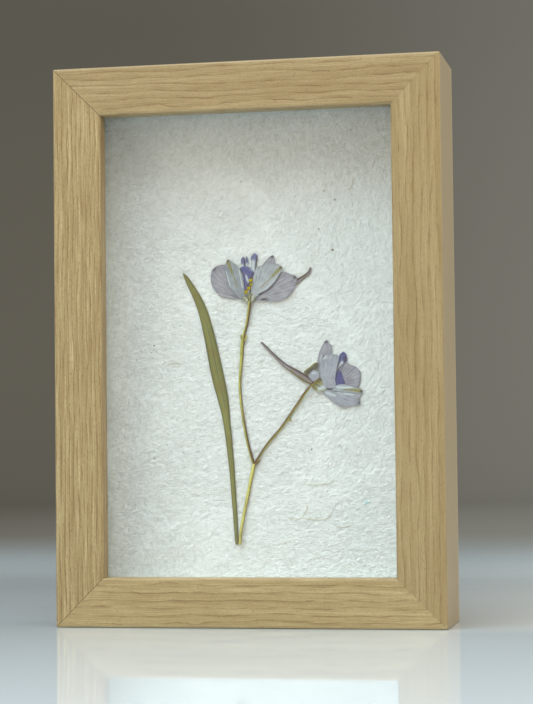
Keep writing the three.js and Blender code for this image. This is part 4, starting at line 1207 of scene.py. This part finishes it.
def lacquered_table():
    """Lacquer is sprayed and polished, so the table is smooth enough to mirror the frame. The same
    sheet turns into a matt painted wall between 0.1 and 0.7 m behind the frame. The table is
    painted greyer towards the back as painted shade, and painted lighter beside and behind the
    frame's right side as a painted pool of light where the frame's shadow falls. The wall is
    painted lighter to the right as painted light."""
    material, tree, skin = new_material("pale_lacquered_table", IOR=1.5)
    place = add(tree, "ShaderNodeTexCoord").node.outputs["Object"]
    axes = add(tree, "ShaderNodeSeparateXYZ", {"Vector": place}).node.outputs
    # Painted shade: the table greys towards the back.
    behind = add(tree, "ShaderNodeMapRange", {
        "Value": axes["Y"], "From Min": -0.25, "From Max": 0.5})
    table = add(tree, "ShaderNodeMixRGB", {
        "Fac": behind, "Color1": linear("#e8f5ff"), "Color2": linear("#93a3ad")})
    # Painted light: a pool of light on the table beside and behind the frame's right side, over the
    # frame's cast shadow.
    painted_light_side = add(tree, "ShaderNodeMapRange", {
        "Value": axes["X"], "From Min": 0.02, "From Max": 0.09})
    painted_light_back = add(tree, "ShaderNodeValToRGB", {"Fac": behind}, stops=[
        (where, (level, level, level, 1)) for where, level in (
            (0.293, 0.0), (0.333, 1.0), (0.40, 1.0), (0.476, 0.8), (0.632, 0.42), (0.84, 0.2))])
    lighter = add(tree, "ShaderNodeMath", {0: painted_light_side, 1: painted_light_back}, operation="MULTIPLY")
    table = add(tree, "ShaderNodeMixRGB", {
        "Fac": lighter, "Color1": table, "Color2": linear("#f4fcff")})
    # Painted light: the wall is lighter towards the right.
    painted_light_to_right, far = [add(tree, "ShaderNodeMapRange", {
        "Value": axes[key], "From Min": low, "From Max": high}, interpolation_type="SMOOTHSTEP")
        for key, low, high in (("X", -0.6, 0.3), ("Y", 0.1, 0.7))]
    wall = add(tree, "ShaderNodeMixRGB", {
        "Fac": painted_light_to_right, "Color1": linear("#625f58"), "Color2": linear("#7d7d78")})
    colour = add(tree, "ShaderNodeMixRGB", {"Fac": far, "Color1": table, "Color2": wall})
    rough, gloss = [add(tree, "ShaderNodeMapRange", {
        "Value": far, "To Min": on_table, "To Max": on_wall})
        for on_table, on_wall in ((0.035, 0.9), (0.5, 0.0))]
    connect(tree, skin, Base_Color=colour, Roughness=rough, Specular_IOR_Level=gloss)
    return material


# The profile of the sheet in metres: flat from front to bend, an arc, then straight up.
TABLE_FRONT, BEND, ARC, WALL_TOP, HALF_SPAN = -1.3, 1.4, 0.6, 3.2, 3.0
turn = np.linspace(0, math.pi / 2, 24)
profile = np.concatenate([
    np.stack([np.linspace(TABLE_FRONT, BEND, 20), np.zeros(20)], axis=1)[:-1],
    np.stack([BEND + ARC * np.sin(turn), ARC - ARC * np.cos(turn)], axis=1),
    [[BEND + ARC, WALL_TOP]]])
x = np.array([-HALF_SPAN, HALF_SPAN])
sweep = np.stack(np.broadcast_arrays(x[None, :], profile[:, :1], profile[:, 1:]), axis=2)
stage_sheet("table_and_wall", sweep[:, ::-1], lacquered_table())
print("backdrop rows", len(profile))

# %% [markdown]
# Light
#
# A big soft light hangs above and a little to the left, so that the lip throws a soft shadow on the
# top of the paper. Weak fills lift the sides, and one behind brightens the table. Area lights are
# used because their size sets how soft a shadow is. The warm world stands for the rest of the room.

# %% Lights
def soft_light(name, place, aim, size, power, colour):
    """A large square area light that looks at a point."""
    light = bpy.data.lights.new(name, "AREA")
    light.shape = "SQUARE"
    light.size = size
    light.energy = power
    light.color = linear(colour)[:3]
    lamp = bpy.data.objects.new(name, light)
    lamp.location = place
    lamp.rotation_euler = (Vector(aim) - Vector(place)).to_track_quat("-Z", "Y").to_euler()
    bpy.context.collection.objects.link(lamp)


soft_light("overhead_softbox", (-0.58, -1.02, 2.55), (0, 0, 0.08), 2.5, 87.5, "#e1f5fe")
soft_light("right_fill", (1.5, -0.6, 0.7), (0, 0, 0.09), 1.2, 8, "#ffeed8")
soft_light("window_behind", (0.9, 0.5, 1.3), (0.12, 0, 0), 1.0, 5, "#eef6ff")
soft_light("left_fill", (-1.3, -1.4, 0.12), (0, 0, 0.12), 0.9, 6, "#fff1de")
world = bpy.data.worlds.new("soft_room")
bpy.context.scene.world = world
world.use_nodes = True
room = world.node_tree.nodes["Background"].inputs
room["Color"].default_value = linear("#ffe7cb")
room["Strength"].default_value = 0.59
print("lights", len(bpy.data.lights))

# %% [markdown]
# Camera
#
# The camera stands low and a little to the right, two thirds of a metre away, with a long lens that
# keeps the frame's edges nearly parallel. Its place was fitted to six corners of the frame, and a
# last small turn gives its tilt. The Standard view transform keeps pale paper pale.

# %% Camera
lens = bpy.data.cameras.new("camera")
lens.sensor_width = 36.0
lens.lens = 108.217
lens.clip_end = 20
camera = bpy.data.objects.new("camera", lens)
camera.location = (0.14096, -0.66935, 0.05762)
looking = (Vector((0.00682, -0.016, 0.08698)) - camera.location).to_track_quat("-Z", "Y")
camera.rotation_mode = "QUATERNION"
camera.rotation_quaternion = looking @ Quaternion((0, 0, 1), math.radians(-0.63))
bpy.context.collection.objects.link(camera)
bpy.context.scene.camera = camera
bpy.context.scene.view_settings.view_transform = "Standard"
print("camera at", [round(v, 3) for v in camera.location], "lens", round(lens.lens, 1))
